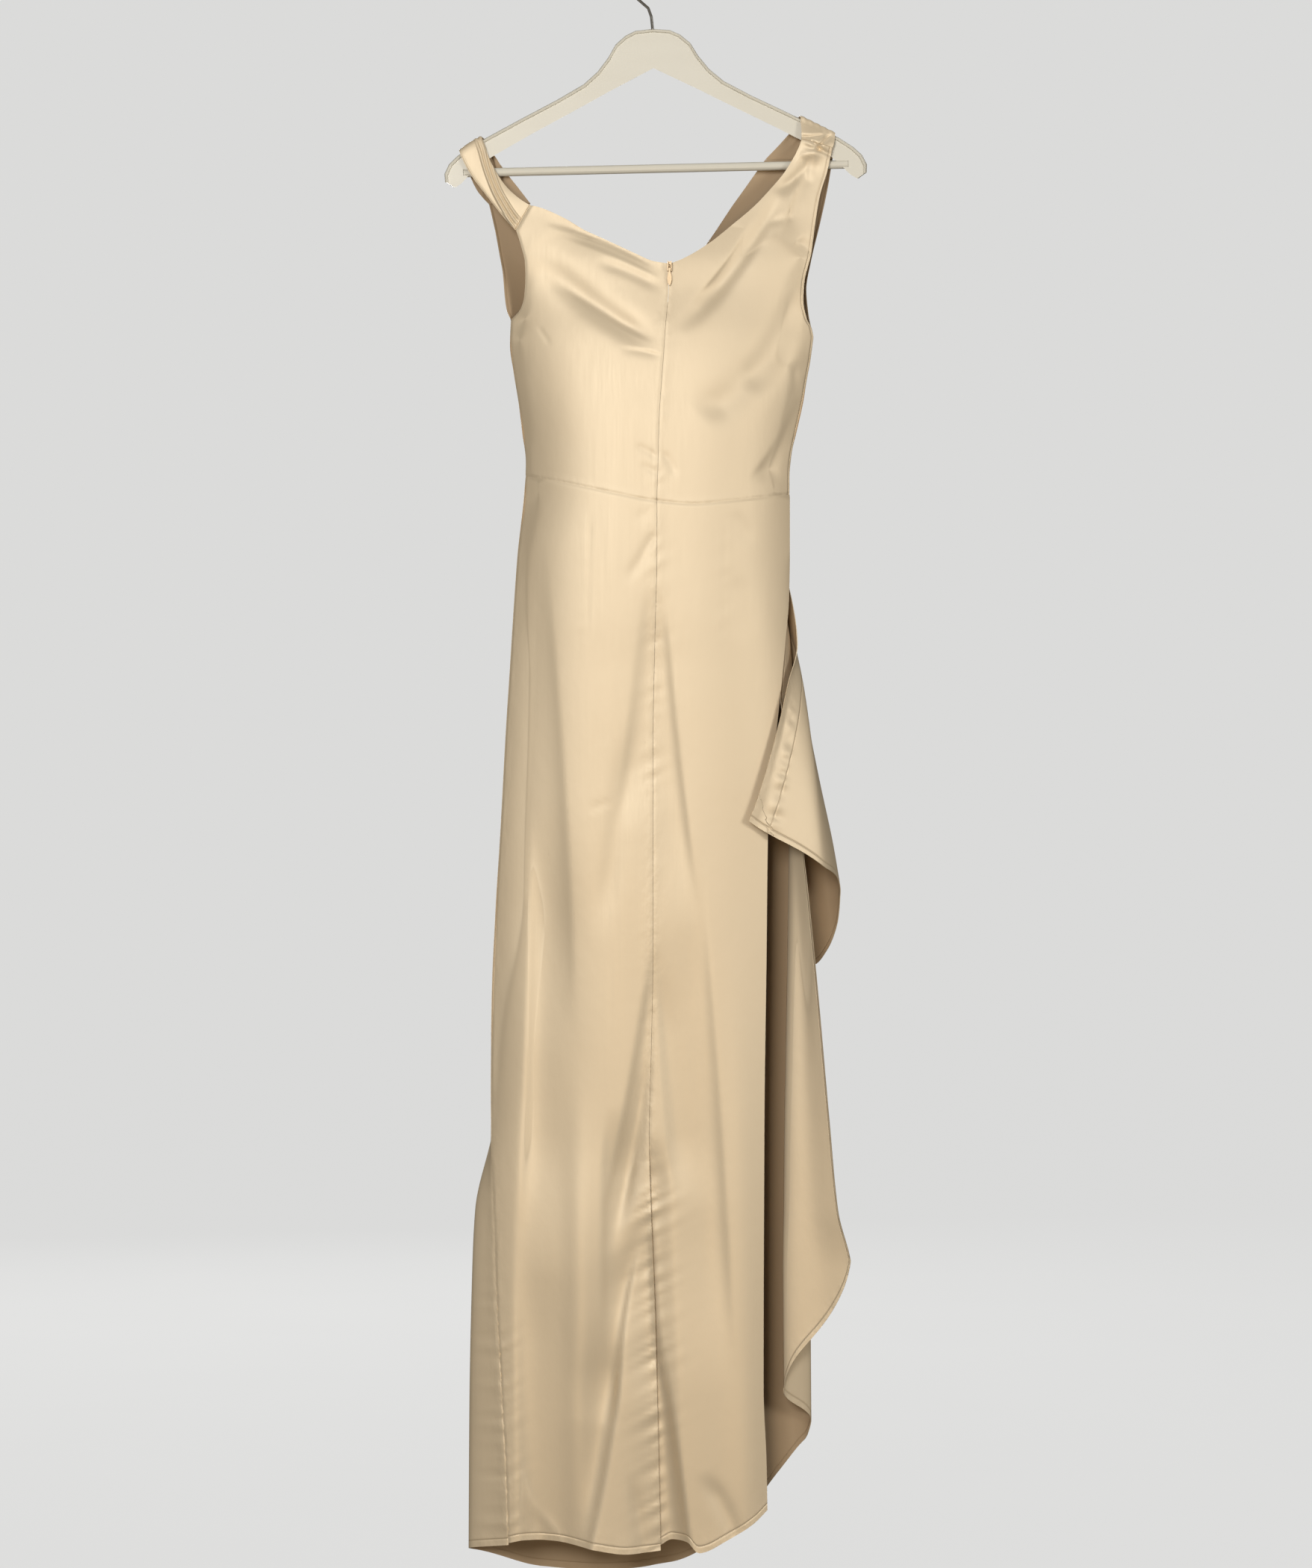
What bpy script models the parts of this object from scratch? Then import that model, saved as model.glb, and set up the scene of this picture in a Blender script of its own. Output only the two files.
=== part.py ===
"""Long draped satin dress hanging flat on a painted wooden clothes hanger.

Frame: metres, +Z up. The origin is the highest point inside the hook, where a rail holds it.
+X runs along the hanger. The back of the dress, with its zip, faces -Y and the front faces +Y.
Sizes are written in millimetres, and heights as drops: millimetres below the origin.
"""

import math

import bmesh
import bpy
import numpy as np

MM = 0.001

# Cloth
WALL = 1.5
SEAM_GAP = 0.3
HALF_GAP = SEAM_GAP / 2
SEAM_WALL = 1.95
SLOPE_STEP = 0.4
FRONT_STATIONS = 15
DRAPE_STATIONS = 12
SIDE_POWER = 3.0
SIDE_REACH = 30.0
TOP_REACH = 40.0
BACK_TOP = 186.0
FRONT_TOP = 200.0
NECK_TUCK = 0.4
SEAM_PART = 1.4
SMOOTH_ANGLE = 40.0

# Hanger
WOOD_THICKNESS = 12.0
WOOD_EDGE = 2.4
WOOD_TOP = 64.0
HANGER_TILT = 1.3
BAR_DIAMETER = 9.0
BAR_DROP = 146.0
BAR_HALF_LENGTH = 200.0
WIRE_DIAMETER = 3.0
HOOK_RADIUS = 20.5
HOOK_SEAT_DEPTH = 16.0

# Skirt
WAIST = 550.0
WAIST_REACH = 50.0
FRONT_EDGE_REACH = 70.0
SLIT_TOP = 755.0
SLIT_SEAM_END = SLIT_TOP + 12.0
TURN_TOP = 640.0
TURN_REACH = 100.0
VENT_TOP = 1212.0
VENT_LAP_TOP = VENT_TOP + 45.0
VENT_LAP_REACH = 60.0
VENT_LAP = 16.0
VENT_STEP = 5.0
VENT_STEP_WIDTH = 24.0
VENT_STEP_EDGE = 26.0
DRAPE_OUTER_X = 150.0
DRAPE_EDGE_REACH = 20.0

# Zip
ZIP_X = 19.0
SLIDER_BOTTOM = 320.0
PULL_THICKNESS = 1.2
PULL_EYE_WALL = 0.8
BAIL_RADIUS = 0.7
SLIDER_WIDTH = 4.4
SLIDER_HEIGHT = 10.0
SLIDER_WALL = 1.0
SLIDER_FLOOR = 1.2
SLIDER_STAND_OFF = 0.6
PIN_STAND_OFF = 3.4
PIN_SINK = 0.3
CUTTER_REACH = 6.0
PLAY = 0.1


def table(columns, *rows):
    """A dictionary of column name to the list of that column's values."""
    return {name: [row[i] for row in rows] for i, name in enumerate(columns.split())}


# Where the oval of the dress lies at each drop, and how deep it is in the middle and at its edges.
OVAL = table(
    "drop left right back front edge",
    (150, -215, 215, 1.0, 1.0, 9.0),
    (190, -215, 212, 1.5, 1.5, 9.0),
    (250, -182, 200, 7.0, 7.0, 9.5),
    (300, -160, 186, 16.0, 19.0, 8.5),
    (340, -149, 175, 25.0, 33.0, 4.0),
    (367, -146, 170, 32.0, 42.0, 0.8),
    (385, -147, 169, 35.0, 46.0, 0.0),
    (430, -142, 162, 38.0, 48.0, 0.0),
    (500, -132, 148, 40.0, 44.0, 0.0),
    (549, -131, 144, 40.0, 40.0, 0.0),
    (609, -140, 144, 40.0, 40.0, 0.0),
    (671, -144, 147, 40.0, 41.0, 0.0),
    (734, -148, 153, 39.0, 42.0, 0.0),
    (889, -157, 167, 38.0, 43.0, 0.0),
    (1168, -169, 174, 38.0, 43.0, 0.0),
    (1293, -184, 176, 39.0, 44.0, 0.0),
    (1479, -188, 177, 40.0, 45.0, 0.0),
    (1680, -189, 178, 42.0, 46.0, 0.0),
)

# Seams and free edges seen from behind, as x at each drop.
CENTRE_BACK = table(
    "drop x", (300, 19), (340, 18), (376, 15), (412, 12.5), (470, 8.5), (523, 7), (558, 6), (611, 6),
    (696, 4), (811, 2), (1026, 2), (1130, 0), (1212, -2), (1289, 0), (1428, 5), (1640, 10),
)
SIDE_LEFT = table(
    "drop x", (367, -146), (392, -147), (423, -143), (454, -138), (485, -134), (516, -130.5), (547, -132),
    (609, -139), (671, -143.5), (734, -147.5), (796, -151.5), (889, -156.5), (982, -162), (1075, -166),
    (1168, -167), (1231, -166), (1293, -163), (1386, -160), (1479, -155), (1572, -150), (1640, -148),
)
SIDE_RIGHT = table(
    "drop x", (385, 169), (408, 166), (430, 162), (454, 158), (485, 151), (508, 146), (532, 144), (549, 144),
    (609, 144), (656, 143), (703, 139), (755, 134), (811, 128), (889, 121), (1043, 119), (1197, 117),
    (1475, 116), (1548, 119), (1600, 120),
)
BACK_ARMHOLE_LEFT = table(
    "drop x", (276, -140), (292, -135), (309, -131), (323, -130.5), (345, -132), (357, -136), (367, -146)
)
STRAP_SEAM_LEFT = table("drop x", (250, -125), (276, -140))
BACK_ARMHOLE_RIGHT = table(
    "drop x", (190, 188), (213, 183), (240, 175), (270, 170), (300, 166), (330, 159), (348, 158), (367, 162),
    (376, 167), (385, 169),
)
FRONT_ARMHOLE_LEFT = table(
    "drop x", (246, -169), (272, -163), (299, -158), (319, -154.5), (346, -152), (358, -150), (367, -146)
)
FRONT_ARMHOLE_RIGHT = table(
    "drop x", (199, 189), (229, 184), (266, 176), (304, 167), (335, 162), (360, 164), (385, 169)
)

# Necklines, waist seams and hems, as drop at each x.
NECK_BACK_LEFT = table(
    "x drop", (-125, 250), (-118, 251.5), (-91, 263), (-65, 278), (-39, 290), (-16, 301), (2, 309), (19, 312)
)
NECK_BACK_RIGHT = table(
    "x drop", (19, 312), (32, 307), (59, 291), (85, 270), (111, 247), (134, 221), (149, 198), (156, 181)
)
WRAP_EDGE_BACK = table("x drop", (156, 181), (188, 190))
STRAP_SEAM_FRONT = table("x drop", (-169, 246), (-126, 245))
NECK_FRONT = table(
    "x drop", (-126, 245), (-98, 281), (-58, 334), (-15, 386), (24, 334), (59, 284), (119, 199)
)
WRAP_EDGE_FRONT = table("x drop", (119, 199), (189, 199))
WAIST_BACK = table(
    "x drop", (-131, 530), (-100, 536), (-69, 543), (-32, 551), (6, 558), (45, 561), (77, 558), (144, 549)
)
WAIST_FRONT = table("x drop", (-131, 530), (-60, 539), (10, 545), (144, 549))
HEM_BACK_LEFT = table(
    "x drop", (-148, 1636), (-133, 1633), (-102, 1634), (-63, 1640), (-25, 1645), (10, 1642)
)
HEM_BACK_RIGHT = table(
    "x drop", (10, 1637), (22, 1631), (37, 1632), (49, 1643), (79, 1630), (106, 1613), (120, 1600)
)

# How far the seam at each side has turned towards the back, in degrees.
SEAM_TURN = table(
    "drop left right", (367, 0, 0), (609, 0, 0), (656, 0, 8), (703, 0, 30), (755, 0, 48), (1168, 0, 55),
    (1293, 30, 55), (1386, 45, 55), (1660, 50, 55),
)

# The skirt front's path at each drop: its turns at the left, the right and back inwards, and its free edge.
FRONT_TURNS = table(
    "drop left_x left_y right_x right_y inner_x inner_y free_x free_y",
    (549, -119, 11.0, 98, 27.0, 126, 13.5, 144, 0.0),
    (656, -132, 13.0, 112, 29.0, 137, 14.0, 143, -3.0),
    (703, -135, 14.0, 118, 30.0, 145, 13.0, 139, -8.0),
    (755, -137, 15.0, 126, 32.0, 148, 12.0, 134, -14.0),
    (800, -140, 15.0, 134, 33.0, 148, 13.0, 140, -10.0),
    (855, -143, 15.5, 141, 34.0, 147, 13.5, 149, -9.0),
    (912, -146, 16.0, 147, 35.0, 144, 13.0, 157, -9.0),
    (1044, -152, 17.0, 154, 35.0, 142, 10.0, 171, -12.0),
    (1200, -163, 14.0, 159, 35.0, 139, 8.0, 185, -13.0),
    (1293, -183, 6.0, 161, 35.0, 138, 7.0, 194, -13.0),
    (1353, -186, 5.0, 162, 35.0, 137, 6.0, 208, -13.0),
    (1500, -189, 4.0, 163, 34.0, 138, 5.0, 213, -13.0),
    (1680, -190, 4.0, 165, 34.0, 138, 5.0, 216, -13.0),
)
# Share of the skirt front's width at which each of those turns lies, and the drop of its hem.
FRONT_HEM = table(
    "share drop", (0.0, 1638), (0.08, 1650), (0.2, 1670), (0.34, 1673), (0.46, 1667), (0.6, 1622),
    (0.68, 1572), (0.76, 1522), (0.8, 1505), (0.86, 1482), (0.9, 1450),
    (0.95, 1412), (0.985, 1372), (1.0, 1345),
)
FRONT_SHARES = {"left": 0.05, "right": 0.74, "round": 0.775, "inner": 0.86, "free": 1.0}
TURN_ROUND = 7.0
TURN_OUT = 4.2

# The hip drape's path at each drop: its turn at the front right, its outline, and its free edge behind.
DRAPE_TURNS = table(
    "drop turn_x turn_y out_x out_y flap_x flap_y free_x free_y",
    (552, 60, 41.5, 76, 38.5, 94, 33.5, 110, 26.5),
    (620, 85, 43.5, 105, 38.0, 124, 29.0, 138, 18.0),
    (706, 112, 43.0, 134, 33.0, 150, 16.0, 152, -2.0),
    (745, 128, 44.0, 150, 29.0, 158, 6.0, 142, -20.0),
    (780, 138, 45.0, 161, 23.0, 163, -4.0, 134, -29.0),
    (858, 150, 48.0, 178, 20.0, 172, -18.0, 112, -40.0),
    (920, 158, 50.0, 191, 18.0, 176, -26.0, 90, -44.0),
    (1000, 166, 52.0, 203, 18.0, 180, -30.0, 76, -48.0),
    (1060, 170, 53.0, 208, 18.0, 182, -32.0, 70, -50.0),
)
DRAPE_HEM = table(
    "share drop", (0.0, 585), (0.12, 700), (0.26, 860), (0.4, 985), (0.52, 1050), (0.6, 1052), (0.68, 1010),
    (0.74, 968), (0.82, 938), (0.9, 915), (1.0, 888),
)
DRAPE_SHARES = {"turn": 0.55, "out": 0.7, "flap": 0.82, "free": 1.0}
DRAPE_STAND_OFF = table("drop off", (549, 3.6), (600, 5.2), (700, 7.0), (1060, 9.0))

# Folds from their top to their end, seen from behind. A depth above 0 pushes the cloth towards +Y.
FOLD_COLUMNS = "x drop end_x end_drop bow width end_width depth end_depth"
BACK_FOLDS = table(
    FOLD_COLUMNS,
    (-112, 585, -100, 980, 6, 16, 22, 4.0, 8.0),
    (-100, 900, -128, 1700, -8, 24, 26, 7.0, 13.0),
    (-6, 600, -48, 960, 2, 13, 18, 3.5, 6.0),
    (-22, 1040, -76, 1700, 3, 15, 19, 3.0, 9.0),
    (-14, 1300, -46, 1700, -3, 14, 17, 3.0, 9.0),
    (12, 620, 40, 1010, -2, 13, 19, 3.5, 6.0),
    (38, 960, 62, 1500, 4, 18, 26, 6.0, 5.0),
    (8, 1330, 28, 1700, 2, 8, 14, 6.0, 17.0),
    (-70, 800, -60, 1300, 0, 20, 26, -4.0, -5.0),
    (-30, 1350, -25, 1700, 0, 16, 22, -4.0, -7.0),
    (88, 700, 92, 1600, 3, 22, 30, -3.0, -6.0),
    (-106, 255, 10, 330, 8, 7, 9, 2.5, 5.0),
    (-128, 300, 8, 384, 10, 9, 12, 3.0, 4.5),
    (158, 196, 46, 362, 8, 11, 15, 2.0, 5.0),
    (168, 215, 92, 470, 10, 12, 20, 2.5, 6.5),
    (152, 462, 90, 536, 3, 14, 17, 4.5, 4.5),
)
FRONT_FOLDS = table(
    FOLD_COLUMNS,
    (-96, 600, -120, 1700, 4, 16, 26, 4.0, 12.0),
    (-48, 640, -58, 1700, -6, 15, 25, 3.0, 12.0),
    (8, 660, 0, 1700, 5, 14, 24, 3.0, 11.0),
    (58, 700, 62, 1640, -4, 14, 22, 3.0, 10.0),
    (-84, 330, -20, 420, 8, 10, 12, 3.0, 4.0),
    (92, 300, 20, 430, -8, 10, 14, 3.0, 5.0),
)
DRAPE_FOLDS = table(
    FOLD_COLUMNS,
    (-100, 566, 96, 800, 22, 14, 18, 2.0, 5.0),
    (-96, 590, 60, 960, 30, 14, 20, 2.0, 6.0),
    (40, 570, 150, 820, -6, 13, 16, 2.0, 5.0),
)


def through(columns, at, key, by="drop"):
    """The value of a table's column at `at`, on a smooth curve through its rows and level past its ends."""
    stops = np.asarray(columns[by], float)
    values = np.asarray(columns[key], float)
    at = np.clip(np.asarray(at, float), stops[0], stops[-1])
    if len(stops) < 3:
        return np.interp(at, stops, values)
    steps = np.diff(values) / np.diff(stops)
    before, after = steps[:-1], steps[1:]
    turning = before * after <= 0
    slopes = np.zeros(len(stops))
    slopes[0], slopes[-1] = steps[0], steps[-1]
    slopes[1:-1] = np.where(turning, 0.0, 2 * before * after / np.where(turning, 1.0, before + after))
    row = np.clip(np.searchsorted(stops, at, side="right") - 1, 0, len(stops) - 2)
    span = stops[row + 1] - stops[row]
    t = (at - stops[row]) / span
    start, end = values[row], values[row + 1]
    lead, trail = slopes[row] * span, slopes[row + 1] * span
    return (
        start * (2 * t**3 - 3 * t**2 + 1)
        + lead * (t**3 - 2 * t**2 + t)
        + end * (3 * t**2 - 2 * t**3)
        + trail * (t**3 - t**2)
    )


def eased(t):
    """0 below 0, 1 above 1, and a smooth rise between."""
    t = np.clip(t, 0.0, 1.0)
    return t * t * (3 - 2 * t)


def folds(rows, x, drop):
    """How far the folds of a table push the cloth towards +Y at a point."""
    total = np.zeros(np.broadcast(x, drop).shape)
    for values in zip(*rows.values()):
        fold = dict(zip(rows, values))
        along = np.array([fold["end_x"] - fold["x"], fold["end_drop"] - fold["drop"]])
        length = float(np.hypot(*along))
        along = along / length
        t = ((x - fold["x"]) * along[0] + (drop - fold["drop"]) * along[1]) / length
        side = (x - fold["x"]) * along[1] - (drop - fold["drop"]) * along[0]
        inside = np.clip(t, 0.0, 1.0)
        side = side - fold["bow"] * 4 * inside * (1 - inside)
        width = fold["width"] + (fold["end_width"] - fold["width"]) * inside
        depth = fold["depth"] + (fold["end_depth"] - fold["depth"]) * inside
        ends = eased(t / 0.18 + 0.1) * eased((1 - t) / 0.18 + 0.1)
        total = total + depth * ends * np.exp(-((side / width) ** 2))
    return total


def oval_depth(x, drop, which):
    """Depth of the flat oval at a point, without folds. `which` is back or front."""
    left, right = through(OVAL, drop, "left"), through(OVAL, drop, "right")
    across = np.clip(np.abs(2 * (x - left) / (right - left) - 1), 0, 1)
    return through(OVAL, drop, "edge") + through(OVAL, drop, which) * (1 - across**SIDE_POWER)


def seam_calm(drop):
    """0 at the waist seam, where folds die out, and 1 away from it."""
    above = eased((WAIST - 5 - drop) / SIDE_REACH)
    return np.where(drop < WAIST, above, eased((drop - WAIST - 12) / WAIST_REACH))


def side_calm(x, drop):
    """0 at the dress's two sides, where folds die out, and 1 inside them."""
    left, right = through(OVAL, drop, "left"), through(OVAL, drop, "right")
    return eased((x - left) / SIDE_REACH) * eased((right - x) / SIDE_REACH)


def back_y(x, drop):
    """The back cloth's middle surface."""
    calm = seam_calm(drop) * side_calm(x, drop) * eased((drop - BACK_TOP) / TOP_REACH)
    return -oval_depth(x, drop, "back") + calm * folds(BACK_FOLDS, x, drop)


def front_y(x, drop):
    """The front cloth's middle surface."""
    calm = seam_calm(drop) * side_calm(x, drop) * eased((drop - FRONT_TOP) / TOP_REACH)
    return oval_depth(x, drop, "front") - calm * folds(FRONT_FOLDS, x, drop)


def seam_direction(side, drop):
    """The way a side seam faces, as x and y. `side` is left or right."""
    turn = math.radians(float(through(SEAM_TURN, drop, side)))
    sign = -1 if side == "left" else 1
    return np.array([sign * math.cos(turn), -math.sin(turn)])


def spread(*stops):
    """Shares from 0 to 1 with a stated number of equal steps between each pair of stops."""
    shares = [0.0]
    for start, end, steps in zip(stops[0::2], stops[2::2], stops[1::2]):
        shares += [start + (end - start) * (i + 1) / steps for i in range(steps)]
    return np.array(shares)


def material(name, colour, roughness, metallic=0.0):
    made = bpy.data.materials.new(name)
    made.use_nodes = True
    shader = made.node_tree.nodes["Principled BSDF"]
    shader.inputs["Base Color"].default_value = (*colour, 1.0)
    shader.inputs["Roughness"].default_value = roughness
    shader.inputs["Metallic"].default_value = metallic
    made.diffuse_color = (*colour, 1.0)
    return made


def mesh_object(name, points, faces, finish, smooth=True):
    mesh = bpy.data.meshes.new(name)
    mesh.from_pydata([tuple(p) for p in points], [], faces)
    mesh.validate()
    made = bpy.data.objects.new(name, mesh)
    bpy.context.scene.collection.objects.link(made)
    mesh.materials.append(finish)
    if smooth:
        mesh.shade_smooth()
        mesh.set_sharp_from_angle(angle=math.radians(SMOOTH_ANGLE))
    return made


def wall(name, middle, offset, finish, outward):
    """A closed wall: the grid `middle` moved both ways along `offset`, with its rim. Its rows run down."""
    rows, columns = middle.shape[:2]
    outer = (middle + offset).reshape(-1, 3)
    inner = (middle - offset).reshape(-1, 3)
    points = np.concatenate([outer, inner])
    under = rows * columns
    faces = []
    for i in range(rows - 1):
        for j in range(columns - 1):
            a, b = i * columns + j, i * columns + j + 1
            c, d = b + columns, a + columns
            faces.append((a, b, c, d))
            faces.append((under + d, under + c, under + b, under + a))
    ring = (
        [j for j in range(columns - 1)]
        + [i * columns + columns - 1 for i in range(rows - 1)]
        + [(rows - 1) * columns + j for j in range(columns - 1, 0, -1)]
        + [i * columns for i in range(rows - 1, 0, -1)]
    )
    for a, b in zip(ring, ring[1:] + ring[:1]):
        faces.append((b, a, under + a, under + b))
    if not outward:
        faces = [face[::-1] for face in faces]
    return mesh_object(name, points, faces, finish)


def height_normal(surface, x, drop):
    """Unit normals of y = surface(x, drop), as x, y and drop parts, with y positive."""
    slope_x = (surface(x + SLOPE_STEP, drop) - surface(x - SLOPE_STEP, drop)) / (2 * SLOPE_STEP)
    slope_drop = (surface(x, drop + SLOPE_STEP) - surface(x, drop - SLOPE_STEP)) / (2 * SLOPE_STEP)
    size = np.sqrt(1 + slope_x**2 + slope_drop**2)
    return np.stack([-slope_x / size, 1 / size, -slope_drop / size], axis=-1)


def grid_normal(grid):
    """Unit normals of a grid of points whose rows run down."""
    down = np.gradient(grid, axis=0)
    across = np.gradient(grid, axis=1)
    normal = np.cross(down, across)
    return normal / np.linalg.norm(normal, axis=-1, keepdims=True)


def panel_grid(left_edge, right_edge, top_drop, bottom_drop, across, down):
    """x and drop of a panel's grid. Its sides give x at a drop, its top and bottom a drop at a share."""
    top, bottom = top_drop(across), bottom_drop(across)
    drop = top[None, :] + (bottom - top)[None, :] * down[:, None]
    left, right = left_edge(drop), right_edge(drop)
    return left + (right - left) * across[None, :], drop


def share_of(columns, left_edge, right_edge):
    """Each row of an x and drop table as its share of the way across a panel."""
    x, drop = np.asarray(columns["x"], float), np.asarray(columns["drop"], float)
    left, right = left_edge(drop), right_edge(drop)
    return (x - left) / (right - left)


def drops_across(tables, left_edge, right_edge, move=0.0):
    """A function from a share across a panel to the drop of the edge that the tables describe, in order."""
    parts = []
    for columns in tables:
        shares = share_of(columns, left_edge, right_edge)
        parts.append({"share": list(shares), "drop": [d + move for d in columns["drop"]]})

    def drop_at(across):
        across = np.asarray(across, float)
        found = through(parts[0], across, "drop", "share")
        for part in parts[1:]:
            found = np.where(across >= part["share"][0], through(part, across, "drop", "share"), found)
        return found

    return drop_at


def edge(*tables, move=0.0):
    """A function from drop to x along tables that follow each other downwards."""

    def x_at(drop):
        drop = np.asarray(drop, float)
        found = through(tables[0], drop, "x")
        for columns in tables[1:]:
            found = np.where(drop >= columns["drop"][0], through(columns, drop, "x"), found)
        return found + move

    return x_at


def seamed(grid, offset, column, side, drop, weight, towards):
    """Turns one column of a panel to its side seam: both panels there share one direction and keep a gap."""
    for i, (d, w) in enumerate(zip(drop, weight)):
        if w <= 0:
            continue
        facing = seam_direction(side, d)
        across = np.array([-facing[1], facing[0]])
        if across[1] < 0:
            across = -across
        offset[i, column, :2] = (1 - w) * offset[i, column, :2] + w * facing * SEAM_WALL / 2
        offset[i, column, 2] *= 1 - w
        grid[i, column, :2] += across * towards * HALF_GAP * SEAM_PART * w


def level(offset, row):
    """Takes the drop part out of one row's offset, so that panels above and below a seam share it."""
    offset[row, :, 2] = 0.0
    size = np.linalg.norm(offset[row], axis=-1, keepdims=True)
    offset[row] *= WALL / 2 / size


def height_panel(name, surface, left, right, top, bottom, across, down, finish, seams=(), level_rows=()):
    """A wall over a height field. seams are (column, side, first drop, last drop)."""
    x, drop = panel_grid(left, right, top, bottom, across, down)
    y = surface(x, drop)
    normal = height_normal(surface, x, drop)
    facing = -1.0 if surface is not front_y else 1.0
    grid = np.stack([x, y, drop], axis=-1)
    normal[1:-1, 1:-1] = grid_normal(grid)[1:-1, 1:-1]
    offset = normal * facing * WALL / 2
    for row in level_rows:
        level(offset, row)
    for column, side, first, last in seams:
        d = drop[:, column]
        weight = np.where((d >= first) & (d <= last), 1.0, 0.0)
        seamed(grid, offset, column, side, d, weight, facing)
    middle = grid * np.array([1, 1, -1]) * MM
    return wall(name, middle, offset * np.array([1, 1, -1]) * MM, finish, outward=facing > 0)


def vent_y(x, drop):
    """The back right skirt, which drops behind the left one at the vent."""
    near = eased((through(CENTRE_BACK, drop, "x") + VENT_STEP_EDGE - x) / VENT_STEP_WIDTH)
    behind = eased((drop - VENT_TOP) / WAIST_REACH) * near
    return back_y(x, drop) + VENT_STEP * behind


def bodice_backs(satin):
    """The two back bodice panels, which meet at the zip."""
    left = edge(STRAP_SEAM_LEFT, BACK_ARMHOLE_LEFT, SIDE_LEFT)
    centre = edge(CENTRE_BACK, move=-HALF_GAP)
    height_panel(
        "bodice_back_left", back_y, left, centre,
        drops_across([NECK_BACK_LEFT], left, centre), drops_across([WAIST_BACK], left, centre, -HALF_GAP),
        np.linspace(0, 1, 13), spread(0, 2, 0.093, 6, 0.418, 7, 1.0), satin,
        seams=[(0, "left", 366.5, 600)], level_rows=[-1],
    )
    centre = edge(CENTRE_BACK, move=HALF_GAP)
    right = edge(BACK_ARMHOLE_RIGHT, SIDE_RIGHT)
    height_panel(
        "bodice_back_right", back_y, centre, right,
        drops_across([NECK_BACK_RIGHT, WRAP_EDGE_BACK], centre, right, NECK_TUCK),
        drops_across([WAIST_BACK], centre, right, -HALF_GAP),
        spread(0, 9, 0.81, 3, 1.0), spread(0, 9, 0.543, 7, 1.0), satin,
        seams=[(-1, "right", 384.5, 600)], level_rows=[-1],
    )


def bodice_front(satin):
    """The front bodice, with its V neck and the roots of both straps."""
    left = edge(FRONT_ARMHOLE_LEFT, SIDE_LEFT)
    right = edge(FRONT_ARMHOLE_RIGHT, SIDE_RIGHT)
    tops = [STRAP_SEAM_FRONT, NECK_FRONT, WRAP_EDGE_FRONT]
    height_panel(
        "bodice_front", front_y, left, right,
        drops_across(tops, left, right, NECK_TUCK), drops_across([WAIST_FRONT], left, right, -HALF_GAP),
        spread(0, 3, 0.12, 8, 0.417, 8, 0.79, 4, 1.0), spread(0, 7, 0.47, 6, 1.0), satin,
        seams=[(0, "left", 366.5, 600), (-1, "right", 384.5, 600)], level_rows=[-1],
    )


def skirt_backs(satin):
    """The two back skirt panels, joined down to the vent."""
    left = edge(SIDE_LEFT)
    centre = edge(CENTRE_BACK, move=-HALF_GAP)
    across, down = np.linspace(0, 1, 15), np.linspace(0, 1, 26)
    height_panel(
        "skirt_back_left", back_y, left, centre,
        drops_across([WAIST_BACK], left, centre, HALF_GAP), drops_across([HEM_BACK_LEFT], left, centre),
        across, down, satin, seams=[(0, "left", 500, 1700)], level_rows=[0],
    )

    def lapped(drop):
        lap = VENT_LAP * eased((drop - VENT_LAP_TOP) / VENT_LAP_REACH)
        return through(CENTRE_BACK, drop, "x") + HALF_GAP - lap

    right = edge(SIDE_RIGHT)
    height_panel(
        "skirt_back_right", vent_y, lapped, right,
        drops_across([WAIST_BACK], lapped, right, HALF_GAP), drops_across([HEM_BACK_RIGHT], lapped, right),
        np.linspace(0, 1, 13), down, satin, seams=[(-1, "right", 500, SLIT_SEAM_END)], level_rows=[0],
    )


def station_path(shares, xs, ys, at):
    """x and y on a smooth path through stations, at given shares of its width."""
    columns = {"share": list(shares), "x": list(xs), "y": list(ys)}
    return through(columns, at, "x", "share"), through(columns, at, "y", "share")


def skirt_front_y(x, drop, at):
    """The skirt front's depth between its turns at the left and the right. `at` is its row of turns."""
    plain = front_y(x, np.full(np.shape(x), float(drop)))
    ends = front_y(np.array([at["left_x"], at["right_x"]]), np.array([drop, drop]))
    free = eased((drop - WAIST - 2) / WAIST_REACH)
    near_left = 1 - eased((x - at["left_x"]) / SIDE_REACH)
    near_right = 1 - eased((at["right_x"] - x) / FRONT_EDGE_REACH)
    return plain + free * ((at["left_y"] - ends[0]) * near_left + (at["right_y"] - ends[1]) * near_right)


def turns_at(columns, drop):
    """A table of turns as one row at a drop."""
    return {key: float(through(columns, drop, key)) for key in columns if key != "drop"}


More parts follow.
